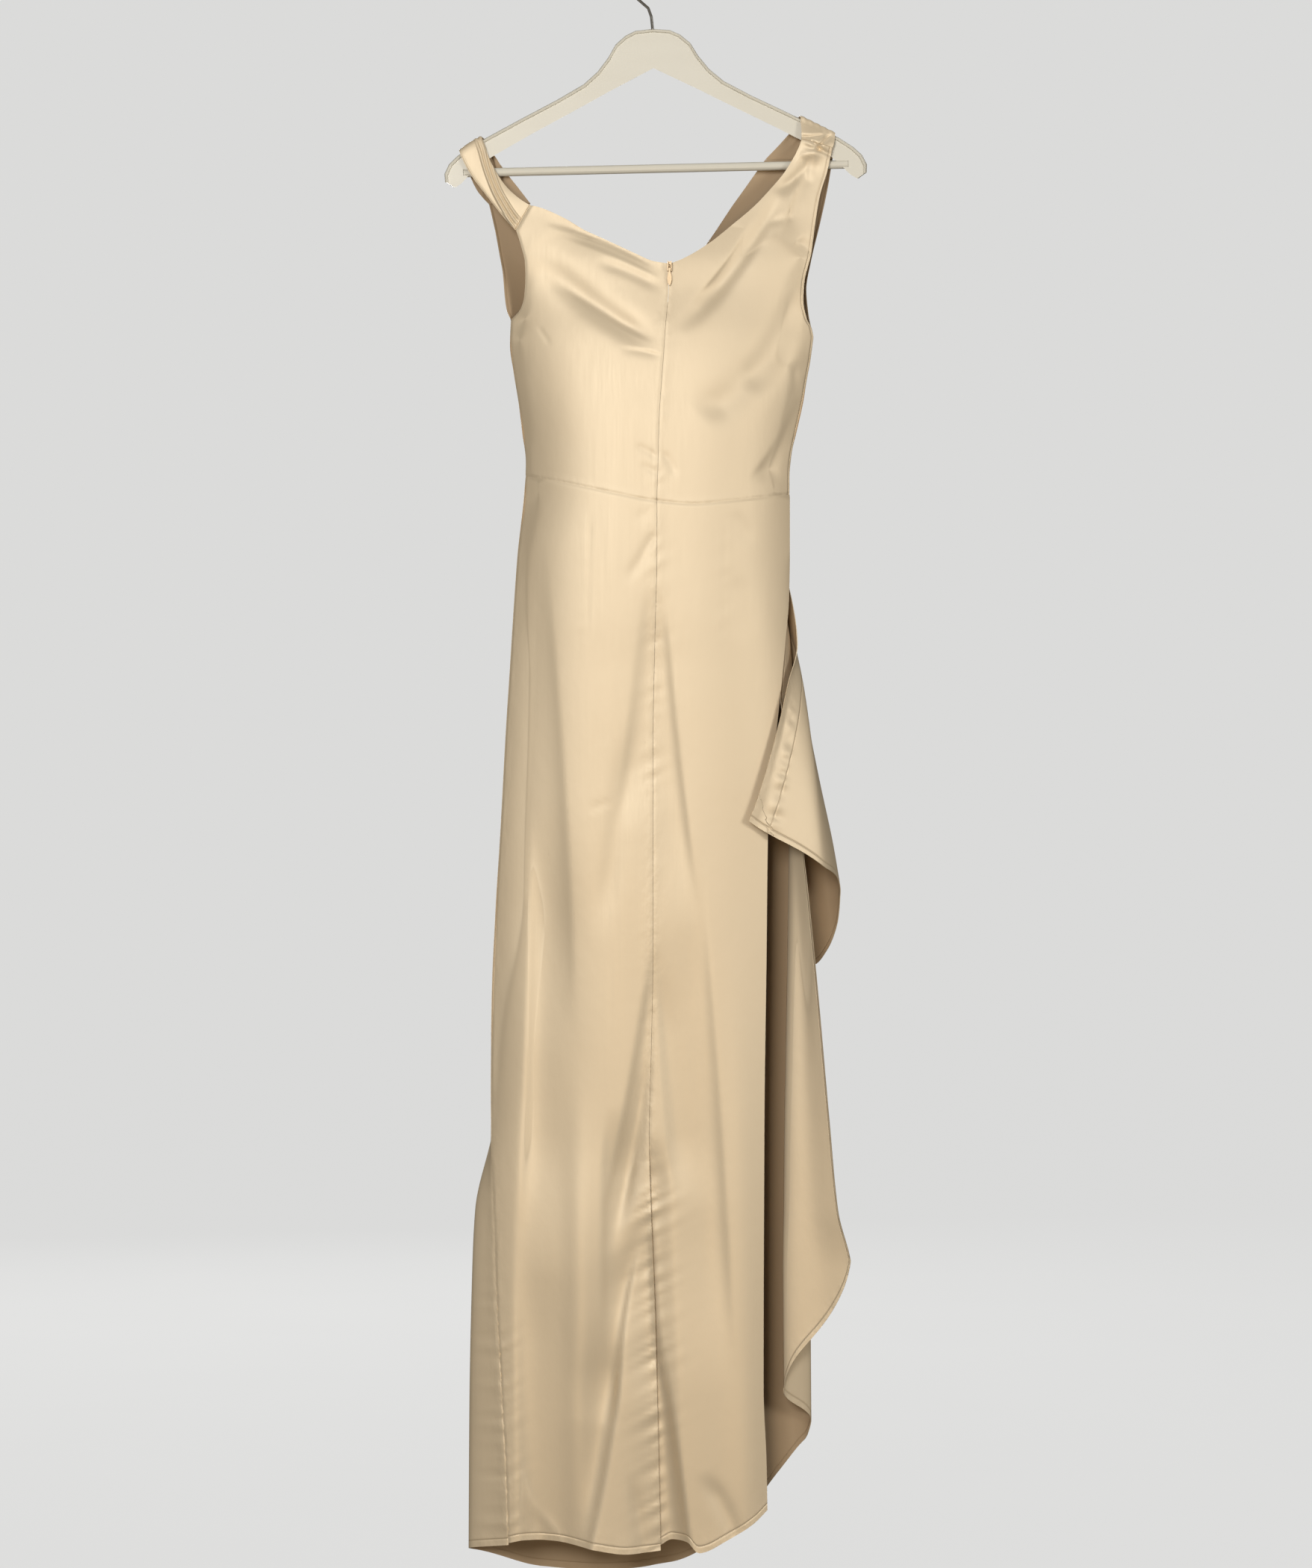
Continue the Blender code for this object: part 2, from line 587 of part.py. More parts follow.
def front_path(share, drop):
    """The skirt front at a share of its width and a drop: round the front, then a fold at the right."""
    at = turns_at(FRONT_TURNS, drop)
    seam_x = float(through(SIDE_LEFT, drop, "x"))
    end_x, end_y = at["free_x"], at["free_y"]
    if drop < SLIT_TOP + 1:
        end_x = float(through(SIDE_RIGHT, drop, "x"))
        end_y = float(back_y(np.array(end_x), np.array(drop)))
    level_y = float(front_y(np.array(at["inner_x"]), np.array(drop)))
    inner_y = level_y + (at["inner_y"] - level_y) * float(eased((drop - WAIST - 2) / WAIST_REACH))
    x = np.linspace(at["left_x"], at["right_x"], FRONT_STATIONS)
    y = skirt_front_y(x, drop, at)
    turned = float(eased((drop - TURN_TOP) / TURN_REACH))
    half_x = (at["right_x"] - at["inner_x"]) / 2
    round_x = at["inner_x"] + half_x + turned * (half_x + TURN_OUT)
    round_y = (y[-1] + inner_y) / 2 + turned * ((y[-1] - inner_y) / 2 - TURN_ROUND)
    spots = np.linspace(FRONT_SHARES["left"], FRONT_SHARES["right"], FRONT_STATIONS)
    spots = [0.0, *spots, FRONT_SHARES["round"], FRONT_SHARES["inner"], FRONT_SHARES["free"]]
    xs = [seam_x, *x, round_x, at["inner_x"], end_x]
    ys = [float(back_y(np.array(seam_x), np.array(drop))), *y, round_y, inner_y, end_y]
    return station_path(spots, xs, ys, share)


def drape_path(share, drop):
    """The hip drape at a share of its width and a drop: across the front, round the hip, over the back."""
    at = turns_at(DRAPE_TURNS, drop)
    below = turns_at(FRONT_TURNS, drop)
    off = float(through(DRAPE_STAND_OFF, drop, "off"))
    x = np.linspace(below["left_x"] + 5, at["turn_x"], DRAPE_STATIONS)
    y = skirt_front_y(np.minimum(x, below["right_x"]), drop, below) + off
    y[-1] = max(y[-1], at["turn_y"])
    calm = eased((drop - WAIST - 6) / WAIST_REACH) * eased((DRAPE_OUTER_X - x) / DRAPE_EDGE_REACH)
    y = y + calm * np.abs(folds(DRAPE_FOLDS, x, np.full(len(x), float(drop))))
    spots = [*np.linspace(0, DRAPE_SHARES["turn"], DRAPE_STATIONS)]
    spots += [DRAPE_SHARES[key] for key in ("out", "flap", "free")]
    xs = [*x, at["out_x"], at["flap_x"], at["free_x"]]
    ys = [*y, at["out_y"], at["flap_y"], at["free_y"]]
    return station_path(spots, xs, ys, share)


def path_panel(name, path, top, hem, across, down, finish, seams=(), level_rows=()):
    """A wall over a path that is a function of share and drop. top and hem give the drop at a share."""
    grid = np.zeros((len(down), len(across), 3))
    for j, share in enumerate(across):
        start, end = float(top(share)), float(hem(share))
        for i, part in enumerate(down):
            drop = start + (end - start) * part
            grid[i, j] = (*path(share, drop), drop)
    offset = grid_normal(grid) * WALL / 2
    for row in level_rows:
        level(offset, row)
    for column, side, first, last in seams:
        drops = grid[:, column, 2].copy()
        weight = np.where((drops >= first) & (drops <= last), 1.0, 0.0)
        seamed(grid, offset, column, side, drops, weight, 1.0)
    middle = grid * np.array([1, 1, -1]) * MM
    return wall(name, middle, offset * np.array([1, 1, -1]) * MM, finish, outward=True)


def skirt_front(satin):
    """The front skirt, one panel from side seam to the free edge of its cascade."""

    def top(share):
        x, _ = front_path(np.array(share), 549.0)
        return through(WAIST_FRONT, x, "drop", "x") + HALF_GAP

    def hem(share):
        return through(FRONT_HEM, share, "drop", "share")

    across = spread(0, 2, 0.05, 14, 0.7, 7, 0.805, 5, 0.9, 3, 1.0)
    path_panel(
        "skirt_front", front_path, top, hem, across, np.linspace(0, 1, 25), satin,
        seams=[(0, "left", 500, 1700), (-1, "right", 500, SLIT_SEAM_END)], level_rows=[0],
    )


def hip_drape(satin):
    """The draped overlay on the front, whose end hangs round the right hip."""

    def top(share):
        x, _ = drape_path(np.array(share), 552.0)
        return through(WAIST_FRONT, x, "drop", "x") + 2.0

    def hem(share):
        return through(DRAPE_HEM, share, "drop", "share")

    path_panel("hip_drape", drape_path, top, hem, spread(0, 14, 0.52, 12, 1.0), np.linspace(0, 1, 15), satin)


def tilted(x, drop):
    """World x and drop of a point of the hanger drawn level, about the origin."""
    turn = math.radians(HANGER_TILT)
    return x * math.cos(turn) + drop * math.sin(turn), drop * math.cos(turn) - x * math.sin(turn)


# The left strap from its seam on the back, over the hanger arm, to its seam on the front.
STRAP_LEFT = table(
    "share left_x left_y left_drop right_x right_y right_drop",
    (0.0, -140.5, -11.0, 275.7, -125.5, -12.0, 249.7),
    (0.1, -152, -10.0, 263, -136, -10.6, 243),
    (0.22, -171, -9.4, 239, -152, -9.4, 228),
    (0.36, -188, -8.2, 216, -167, -8.2, 203),
    (0.45, -197, -7.9, 198.5, -173.5, -7.9, 185.5),
    (0.475, -199, -6.7, 192.9, -176, -6.7, 178.5),
    (0.5, -199.4, 0.0, 191.2, -176.4, 0.0, 176.9),
    (0.525, -198.6, 6.7, 192.6, -174.5, 6.7, 177.6),
    (0.55, -197, 7.9, 198, -170.5, 7.9, 184),
    (0.7, -189, 8.4, 216, -154, 8.4, 209),
    (0.85, -181, 9.2, 232, -139, 9.6, 228),
    (1.0, -169, 10.0, 245.6, -126, 12.0, 244.6),
)
# The right shoulder, gathered on the back and wide on the front.
SHOULDER_RIGHT = table(
    "share left_x left_y left_drop right_x right_y right_drop",
    (0.0, 156, -9.8, 180.6, 188, -9.2, 189.6),
    (0.15, 156, -9.2, 173, 189.5, -9.0, 186),
    (0.3, 155.4, -7.8, 163, 190.5, -7.8, 181),
    (0.4, 155, -6.6, 156.7, 191, -6.6, 174.5),
    (0.5, 154.6, 0.0, 155.1, 191, 0.0, 173.2),
    (0.6, 153, 6.6, 155.7, 191, 6.6, 174.5),
    (0.7, 150, 7.8, 164, 191, 7.8, 181),
    (0.85, 137, 9.0, 180, 190, 8.8, 190),
    (1.0, 119, 10.4, 198.9, 189, 9.2, 198.9),
)
STRAP_PLEATS = 3
STRAP_PLEAT_DEPTH = 0.9
STRAP_CROWN = 0.7
KNOT_DEPTH = 4.5
KNOT_FOLD_DEPTH = 1.3
KNOT_FOLDS = 3

# Half the width of the zip's pull at each drop below its pin.
PULL_OUTLINE = table(
    "drop half", (0.6, 0.8), (5.6, 0.8), (7.6, 1.4), (10, 2.0), (12.6, 2.3), (15, 2.1), (17.4, 1.5),
    (19.2, 0.7), (19.8, 0.3),
)

# One arm of the hanger, drawn level: its upper and lower outline, below the top of the wood.
HANGER_ARM = table(
    "top_x top_drop low_x low_drop",
    (0, 0, 0, 42), (18, 1.6, 9, 46.5), (28.5, 6.5, 18, 51), (39, 15.5, 26, 55), (47, 29, 36, 60),
    (58, 43, 48, 66), (73, 56, 64, 74.5), (101, 71.5, 90, 88), (139, 90.5, 128, 107.5),
    (175, 109, 164, 127), (192, 118, 181, 137), (206, 127.5, 191, 145.5),
    (215, 136, 197, 152), (220, 146, 203, 158), (219.5, 154.5, 209, 161.5),
)
# The hook's wire, level with the wood's top, before its round part.
HOOK_STEM = table("x rise", (0.0, -16.0), (0.0, 0.0), (-1.0, 12.0), (-4.0, 21.0))
HOOK_CENTRE_RISE = 45.0
HOOK_START = 222.0
HOOK_END = -42.0
HOOK_STEPS = 22
WIRE_SIDES = 8


def band(name, columns, seams, ripple, across, along, finish):
    """A wall through a table of left and right edges, rippled across its width by `ripple`."""
    keys = [side + "_" + axis for side in ("left", "right") for axis in ("x", "y", "drop")]
    edges = np.stack([through(columns, along, key, "share") for key in keys], axis=-1)
    grid = edges[:, None, :3] * (1 - across[None, :, None]) + edges[:, None, 3:] * across[None, :, None]
    for row, surface in seams:
        grid[row, :, 1] = surface(grid[row, :, 0], grid[row, :, 2])
    grid = grid * np.array([1, 1, -1])
    normal = grid_normal(grid)
    grid = grid + normal * ripple(across[None, :], along[:, None])[..., None]
    return wall(name, grid * MM, -grid_normal(grid) * WALL / 2 * MM, finish, outward=True)


def strap_ripple(across, along):
    """Lengthwise pleats of the left strap, calm at its seams and on the wood."""
    behind = eased(along / 0.12) * eased((0.42 - along) / 0.08)
    calm = behind + eased((along - 0.58) / 0.1) * eased((1 - along) / 0.12)
    crown = STRAP_CROWN * 4 * across * (1 - across) * eased(along / 0.3) * eased((1 - along) / 0.3)
    return -STRAP_PLEAT_DEPTH * calm * (1 - np.cos(2 * math.pi * STRAP_PLEATS * across)) / 2 - crown


def knot_ripple(across, along):
    """The gathers of the right shoulder: one round knot on the back and small folds over the top."""
    knot = np.exp(-(((across - 0.6) / 0.3) ** 2) - ((along - 0.2) / 0.13) ** 2)
    calm = eased(along / 0.1) * eased((1 - along) / 0.25)
    gathers = KNOT_FOLD_DEPTH * calm * (1 - np.cos(2 * math.pi * KNOT_FOLDS * across)) / 2
    return -(KNOT_DEPTH * knot * eased(along / 0.08) + gathers)


def straps(satin):
    band(
        "strap_left", STRAP_LEFT, [(0, back_y), (-1, front_y)], strap_ripple,
        np.linspace(0, 1, 13), spread(0, 7, 0.44, 8, 0.56, 6, 1.0), satin,
    )
    band(
        "shoulder_right", SHOULDER_RIGHT, [(0, back_y), (-1, front_y)], knot_ripple,
        np.linspace(0, 1, 13), spread(0, 6, 0.34, 7, 0.66, 5, 1.0), satin,
    )


def solid(name, build, finish, smooth=True):
    """An object from a function that fills a bmesh, with its faces turned outwards."""
    shape = bmesh.new()
    build(shape)
    bmesh.ops.recalc_face_normals(shape, faces=shape.faces)
    mesh = bpy.data.meshes.new(name)
    shape.to_mesh(mesh)
    shape.free()
    made = bpy.data.objects.new(name, mesh)
    bpy.context.scene.collection.objects.link(made)
    mesh.materials.append(finish)
    if smooth:
        mesh.shade_smooth()
        mesh.set_sharp_from_angle(angle=math.radians(SMOOTH_ANGLE))
    return made


def helper(name, build, finish):
    """A hidden object that only serves a Boolean."""
    made = solid(name, build, finish, smooth=False)
    made.hide_render = True
    made.display_type = "WIRE"
    return made


def boolean(target, tool, operation):
    """Adds an exact Boolean of `tool` to `target`."""
    step = target.modifiers.new(operation.lower() + "_" + tool.name, "BOOLEAN")
    step.operation = operation
    step.solver = "EXACT"
    step.object = tool


def loft(shape, sections):
    """A closed solid through equal rings of world points."""
    rings = [[shape.verts.new(tuple(point)) for point in section] for section in sections]
    for low, high in zip(rings, rings[1:]):
        for i, vertex in enumerate(low):
            after = (i + 1) % len(low)
            shape.faces.new((vertex, low[after], high[after], high[i]))
    shape.faces.new(rings[0][::-1])
    shape.faces.new(rings[-1])


def rod(shape, start, end, radius, sides):
    """A round rod between two world points."""
    start, end = np.asarray(start, float), np.asarray(end, float)
    axis = (end - start) / np.linalg.norm(end - start)
    first = np.cross(axis, (0.0, 1.0, 0.0) if abs(axis[1]) < 0.9 else (1.0, 0.0, 0.0))
    first = first / np.linalg.norm(first)
    second = np.cross(axis, first)
    turns = np.linspace(0, 2 * math.pi, sides, endpoint=False)
    ring = [radius * (math.cos(turn) * first + math.sin(turn) * second) for turn in turns]
    loft(shape, [[point + centre for point in ring] for centre in (start, end)])


def block(shape, low, high):
    """A box between two world corners."""
    (x_a, y_a, z_a), (x_b, y_b, z_b) = low, high
    loft(shape, [[(x, y_a, z_a), (x, y_b, z_a), (x, y_b, z_b), (x, y_a, z_b)] for x in (x_a, x_b)])


def rounded_ring(top, low):
    """World points round one section of the hanger's arm."""
    top, low = np.array(top, float), np.array(low, float)
    length = float(np.linalg.norm(low - top))
    fall = (low - top) / length
    half = WOOD_THICKNESS / 2
    profile = []
    for centre_v, centre_u, start in (
        (half - WOOD_EDGE, WOOD_EDGE, 90), (-(half - WOOD_EDGE), WOOD_EDGE, 180),
        (-(half - WOOD_EDGE), length - WOOD_EDGE, 270), (half - WOOD_EDGE, length - WOOD_EDGE, 0),
    ):
        for step in range(3):
            turn = math.radians(start + 45 * step)
            profile.append((centre_v + WOOD_EDGE * math.cos(turn), centre_u - WOOD_EDGE * math.sin(turn)))
    points = []
    for v, u in profile:
        x, drop = top + fall * u
        x, drop = tilted(x, drop + WOOD_TOP)
        points.append((x * MM, v * MM, -drop * MM))
    return points


def hanger(wood, steel):
    arm = list(zip(*HANGER_ARM.values()))
    mirrored = [(-top_x, top_drop, -low_x, low_drop) for top_x, top_drop, low_x, low_drop in arm[:0:-1]]
    stations = mirrored + arm
    body = solid(
        "hanger_body",
        lambda shape: loft(shape, [rounded_ring(station[:2], station[2:]) for station in stations]),
        wood,
    )

    def bar_end(side, extra):
        x, drop = tilted(side * (BAR_HALF_LENGTH + extra), BAR_DROP + WOOD_TOP)
        return x * MM, 0.0, -drop * MM

    radius = BAR_DIAMETER / 2 * MM
    socket_radius = radius + (SEAM_GAP + PLAY) * MM
    solid("hanger_bar", lambda shape: rod(shape, bar_end(-1, 0), bar_end(1, 0), radius, 16), wood)
    socket = helper(
        "bar_sockets",
        lambda shape: rod(shape, bar_end(-1, SEAM_GAP), bar_end(1, SEAM_GAP), socket_radius, 16),
        wood,
    )
    boolean(body, socket, "DIFFERENCE")

    def level_point(x, rise):
        x, drop = tilted(x, WOOD_TOP - rise)
        return np.array((x, 0.0, -drop)) * MM

    hole = helper(
        "hook_hole",
        lambda shape: rod(
            shape, level_point(0, 4), level_point(0, -HOOK_SEAT_DEPTH - SEAM_GAP),
            (WIRE_DIAMETER / 2 + SEAM_GAP + PLAY) * MM, 12,
        ),
        wood,
    )
    boolean(body, hole, "DIFFERENCE")

    path = [level_point(x, rise) for x, rise in zip(HOOK_STEM["x"], HOOK_STEM["rise"])]
    for i in range(HOOK_STEPS + 1):
        turn = math.radians(HOOK_START + (HOOK_END - HOOK_START) * i / HOOK_STEPS)
        rise = HOOK_CENTRE_RISE + HOOK_RADIUS * math.sin(turn)
        path.append(level_point(HOOK_RADIUS * math.cos(turn), rise))
    solid("hanger_hook", lambda shape: wire(shape, path), steel)


def wire(shape, path):
    """A round wire along world points that lie in one plane of constant y."""
    path = np.array(path)
    along = np.gradient(path, axis=0)
    along = along / np.linalg.norm(along, axis=-1, keepdims=True)
    depth = np.array((0.0, 1.0, 0.0))
    turns = np.linspace(0, 2 * math.pi, WIRE_SIDES, endpoint=False)
    sections = []
    for point, way in zip(path, along):
        side = np.cross(way, depth)
        ring = [math.cos(turn) * side + math.sin(turn) * depth for turn in turns]
        sections.append([point + WIRE_DIAMETER / 2 * MM * spoke for spoke in ring])
    loft(shape, sections)


def zip_parts(metal):
    """The slider at the top of the zip and the pull that hangs from its cross bar."""
    top = SLIDER_BOTTOM - SLIDER_HEIGHT / 2
    base = float(back_y(np.array(ZIP_X), np.array(top))) - WALL / 2 - SEAM_GAP - SLIDER_STAND_OFF
    axis_y = base - PIN_STAND_OFF
    half = SLIDER_WIDTH / 2
    slot = half - SLIDER_WALL

    def at(x, y, drop):
        return (ZIP_X + x) * MM, y * MM, -drop * MM

    low = at(-half, axis_y - SLIDER_FLOOR, top + SLIDER_HEIGHT / 2)
    high = at(half, base, top - SLIDER_HEIGHT / 2)
    slider = solid("zip_slider", lambda shape: block(shape, low, high), metal)
    cut_low = at(-slot, axis_y - CUTTER_REACH, top + SLIDER_HEIGHT)
    cut_high = at(slot, base - SLIDER_FLOOR, top - SLIDER_HEIGHT)
    cutter = helper("slider_slot", lambda shape: block(shape, cut_low, cut_high), metal)
    boolean(slider, cutter, "DIFFERENCE")
    pin_left = at(PIN_SINK - half, axis_y, top)
    pin_right = at(half - PIN_SINK, axis_y, top)
    bar = helper("slider_bar", lambda shape: rod(shape, pin_left, pin_right, BAIL_RADIUS * MM, 12), metal)
    boolean(slider, bar, "UNION")

    eye_half = slot - SEAM_GAP
    outer = BAIL_RADIUS + SEAM_GAP + PULL_EYE_WALL

    def tab(shape):
        thick = PULL_THICKNESS / 2
        corners = ((-1, -1), (1, -1), (1, 1), (-1, 1))
        sections = []
        for drop, wide in zip(PULL_OUTLINE["drop"], PULL_OUTLINE["half"]):
            sections.append([at(wide * u, axis_y + thick * v, top + drop) for u, v in corners])
        loft(shape, sections)

    pull = solid("zip_pull", tab, metal, smooth=False)
    ring = helper(
        "pull_eye",
        lambda shape: rod(shape, at(-eye_half, axis_y, top), at(eye_half, axis_y, top), outer * MM, 16),
        metal,
    )
    boolean(pull, ring, "UNION")
    hole_left = at(-eye_half - SLIDER_WALL, axis_y, top)
    hole_right = at(eye_half + SLIDER_WALL, axis_y, top)
    hole_radius = (BAIL_RADIUS + SEAM_GAP) * MM
    hole = helper("pull_hole", lambda shape: rod(shape, hole_left, hole_right, hole_radius, 16), metal)
    boolean(pull, hole, "DIFFERENCE")


def main():
    for old in list(bpy.data.objects):
        bpy.data.objects.remove(old, do_unlink=True)
    satin = material("satin", (0.72, 0.57, 0.37), 0.32)
    drape_satin = material("satin_drape", (0.72, 0.57, 0.37), 0.32)
    strap_satin = material("satin_strap", (0.72, 0.57, 0.37), 0.32)
    wood = material("painted_wood", (0.78, 0.75, 0.66), 0.35)
    steel = material("steel_wire", (0.62, 0.6, 0.56), 0.25, 1.0)
    metal = material("lacquered_metal", (0.66, 0.52, 0.34), 0.3, 1.0)
    bodice_backs(satin)
    bodice_front(satin)
    skirt_backs(satin)
    skirt_front(satin)
    hip_drape(drape_satin)
    straps(strap_satin)
    hanger(wood, steel)
    zip_parts(metal)


main()
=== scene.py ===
"""Looks of the draped satin evening dress on its painted wooden hanger.

Every size is in millimetres unless a name says otherwise, and heights are drops: millimetres below the
hang point. The back of the dress, with its zip, faces -Y.
"""

from __future__ import annotations

import logging
import math
from dataclasses import dataclass, field
from enum import Enum
from typing import Callable, Iterator, Sequence

import bpy
import numpy as np
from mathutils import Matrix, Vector


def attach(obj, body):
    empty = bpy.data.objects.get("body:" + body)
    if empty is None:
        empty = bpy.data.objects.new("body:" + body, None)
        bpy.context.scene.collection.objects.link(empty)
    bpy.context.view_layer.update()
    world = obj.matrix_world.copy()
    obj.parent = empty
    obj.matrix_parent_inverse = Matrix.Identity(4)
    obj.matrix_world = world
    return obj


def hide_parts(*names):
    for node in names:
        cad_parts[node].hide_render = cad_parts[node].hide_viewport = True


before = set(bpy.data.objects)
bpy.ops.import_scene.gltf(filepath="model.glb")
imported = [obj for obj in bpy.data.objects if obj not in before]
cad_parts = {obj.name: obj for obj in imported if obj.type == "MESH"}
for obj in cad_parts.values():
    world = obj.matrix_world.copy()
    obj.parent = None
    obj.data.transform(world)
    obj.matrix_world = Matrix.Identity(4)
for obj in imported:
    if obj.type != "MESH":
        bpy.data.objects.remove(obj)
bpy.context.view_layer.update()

log = logging.getLogger("dress")
MM = 0.001
Colour = tuple[float, float, float]
Array = np.ndarray
Surface = Callable[[Array, Array], Array]
Edge = Callable[[Array], Array]


# Shader building


class Value:
    """A socket in a node tree that can be used in ordinary arithmetic."""

    def __init__(self, shader: "ShaderTree", socket: bpy.types.NodeSocket) -> None:
        """Wraps a socket of a shader tree."""
        self.shader = shader
        self.socket = socket

    def _maths(self, operation: str, *inputs: "Value | float") -> "Value":
        """Adds one Math node.

        Args:
            operation: The node's operation.
            inputs: Its inputs in order.

        Returns:
            The node's result.
        """
        links = dict(enumerate(inputs))
        return self.shader.node("ShaderNodeMath", {"operation": operation}, links)

    def __add__(self, other: "Value | float") -> "Value":
        """Sum."""
        return self._maths("ADD", self, other)

    def __radd__(self, other: float) -> "Value":
        """Sum with a number first."""
        return self._maths("ADD", other, self)

    def __sub__(self, other: "Value | float") -> "Value":
        """Difference."""
        return self._maths("SUBTRACT", self, other)

    def __rsub__(self, other: float) -> "Value":
        """Difference from a number."""
        return self._maths("SUBTRACT", other, self)

    def __mul__(self, other: "Value | float") -> "Value":
        """Product."""
        return self._maths("MULTIPLY", self, other)

    def __rmul__(self, other: float) -> "Value":
        """Product with a number first."""
        return self._maths("MULTIPLY", other, self)

    def __pow__(self, other: float) -> "Value":
        """Power."""
        return self._maths("POWER", self, other)


class ShaderTree:
    """A material's node tree, with one Principled BSDF at its end."""

    def __init__(self, name: str, preview: Colour) -> None:
        """Makes a material with a bare Principled BSDF.

        Args:
            name: The material's name.
            preview: Its colour in the viewport.
        """
        self.material = bpy.data.materials.new(name)
        self.material.use_nodes = True
        self.material.diffuse_color = (*preview, 1.0)
        self.tree = self.material.node_tree
        self.surface = self.tree.nodes["Principled BSDF"]

    def node(
        self,
        kind: str,
        settings: dict[str, object] | None = None,
        inputs: dict[str | int, object] | None = None,
        output: str | int = 0,
    ) -> Value:
        """Adds a node, sets its settings first and then its sockets.

        Args:
            kind: The node's type.
            settings: Its properties.
            inputs: A value or a Value for each socket, by name or number.
            output: The socket to return, by name or number.

        Returns:
            The chosen output.
        """
        made = self.tree.nodes.new(kind)
        for name, setting in (settings or {}).items():
            setattr(made, name, setting)
        for name, value in (inputs or {}).items():
            if isinstance(value, Value):
                self.tree.links.new(value.socket, made.inputs[name])
            else:
                made.inputs[name].default_value = value
        return Value(self, made.outputs[output])

    def attribute(self, name: str) -> Value:
        """A number stored on the mesh's points."""
        return self.node("ShaderNodeAttribute", {"attribute_name": name}, output="Fac")

    def place(self, scale: tuple[float, float, float] = (1.0, 1.0, 1.0)) -> Value:
        """The point's place on the object, stretched by a scale along each axis."""
        place = self.node("ShaderNodeTexCoord", output="Object")
        return self.node("ShaderNodeVectorMath", {"operation": "MULTIPLY"}, {0: place, 1: scale})

    def noise(self, place: Value, scale: float, detail: float = 2.0) -> Value:
        """Noise from 0 to 1 at a place."""
        return self.node("ShaderNodeTexNoise", {}, {"Vector": place, "Scale": scale, "Detail": detail})

    def mix(self, factor: Value, first: Colour, second: Colour) -> Value:
        """A colour between two, by a factor."""
        inputs = {"Factor": factor, 6: (*first, 1.0), 7: (*second, 1.0)}
        return self.node("ShaderNodeMix", {"data_type": "RGBA"}, inputs, output=2)

    def bump(self, height: Value, distance: float) -> None:
        """Sends a height from 0 to 1 through a Bump node to Normal, `distance` metres high."""
        made = self.node("ShaderNodeBump", {}, {"Distance": distance, "Height": height})
        self.feed("Normal", made)

    def feed(self, socket: str, value: Value) -> None:
        """Links a value to one of the shader's sockets."""
        self.tree.links.new(value.socket, self.surface.inputs[socket])

    def fixed(self, **sockets: object) -> None:
        """Sets sockets that are the same all over. Underscores in a name stand for spaces."""
        for name, value in sockets.items():
            self.surface.inputs[name.replace("_", " ")].default_value = value


@dataclass(frozen=True)
class SatinFinish:
    """Smooth satin: its colour, threads, creases near its edges and stitched lines, and painted shade on
    those lines.
    """

    name: str = "satin"
    light: Colour = (0.80, 0.68, 0.495)
    deep: Colour = (0.73, 0.595, 0.41)
    roughness: float = 0.53
    metallic: float = 0.36
    relief: float = 0.0022
    stitch_spread: float = 0.9
    broad_scale: float = 7.0
    thread_scale: float = 900.0
    crease_scale: float = 95.0
    rumple_scale: float = 14.0

    def material(self) -> bpy.types.Material:
        """Builds the satin.

        Returns:
            The material.
        """
        shader = ShaderTree(self.name, self.light)
        edge, seam = shader.attribute("edge"), shader.attribute("seam")
        stitch_groove_and_shade = (seam * seam * self.stitch_spread + 1.0) ** -2.0
        broad = shader.noise(shader.place((1.0, 1.0, 0.35)), self.broad_scale, 3.0)
        threads = shader.noise(shader.place((1.0, 1.0, 0.012)), self.thread_scale)
        # Tone differs at random; along stitched lines it darkens towards the deep colour, painted shade in
        # the seam grooves.
        tone_and_seam_shade = broad * 0.8 + threads * 0.2 - stitch_groove_and_shade * 0.8
        shader.feed("Base Color", shader.mix(tone_and_seam_shade, self.deep, self.light))
        shader.feed("Roughness", threads * 0.10 + broad * 0.08 + (self.roughness - 0.09))
        crease = shader.noise(shader.place((1.0, 1.0, 0.6)), self.crease_scale, 3.0)
        rumple = shader.noise(shader.place((1.0, 1.0, 0.4)), self.rumple_scale, 1.0)
        height = crease * edge * 0.5 + rumple * 0.4 - stitch_groove_and_shade * 0.25 + threads * 0.003
        shader.bump(height, self.relief)
        shader.fixed(
            Metallic=self.metallic, Anisotropic=0.4, Sheen_Weight=0.04, Sheen_Roughness=0.35,
            Sheen_Tint=(*self.light, 1.0), Specular_IOR_Level=0.5,
        )
        return shader.material


@dataclass(frozen=True)
class Fabric:
    """The two sides of the cloth: the satin face and its duller back, made darker with painted shade."""

    face: bpy.types.Material
    reverse: bpy.types.Material

    @classmethod
    def of(cls, name: str) -> "Fabric":
        """Builds both sides of a satin, named after its place."""
        # The back is matte and duller, as satin's back is; its much darker colour is painted shade for the
        # inside seen in the slit, armhole and drape's curl.
        dull = SatinFinish(f"{name}_reverse", (0.48, 0.355, 0.225), (0.42, 0.30, 0.18), 0.70, 0.08, 0.0016)
        return cls(SatinFinish(name).material(), dull.material())


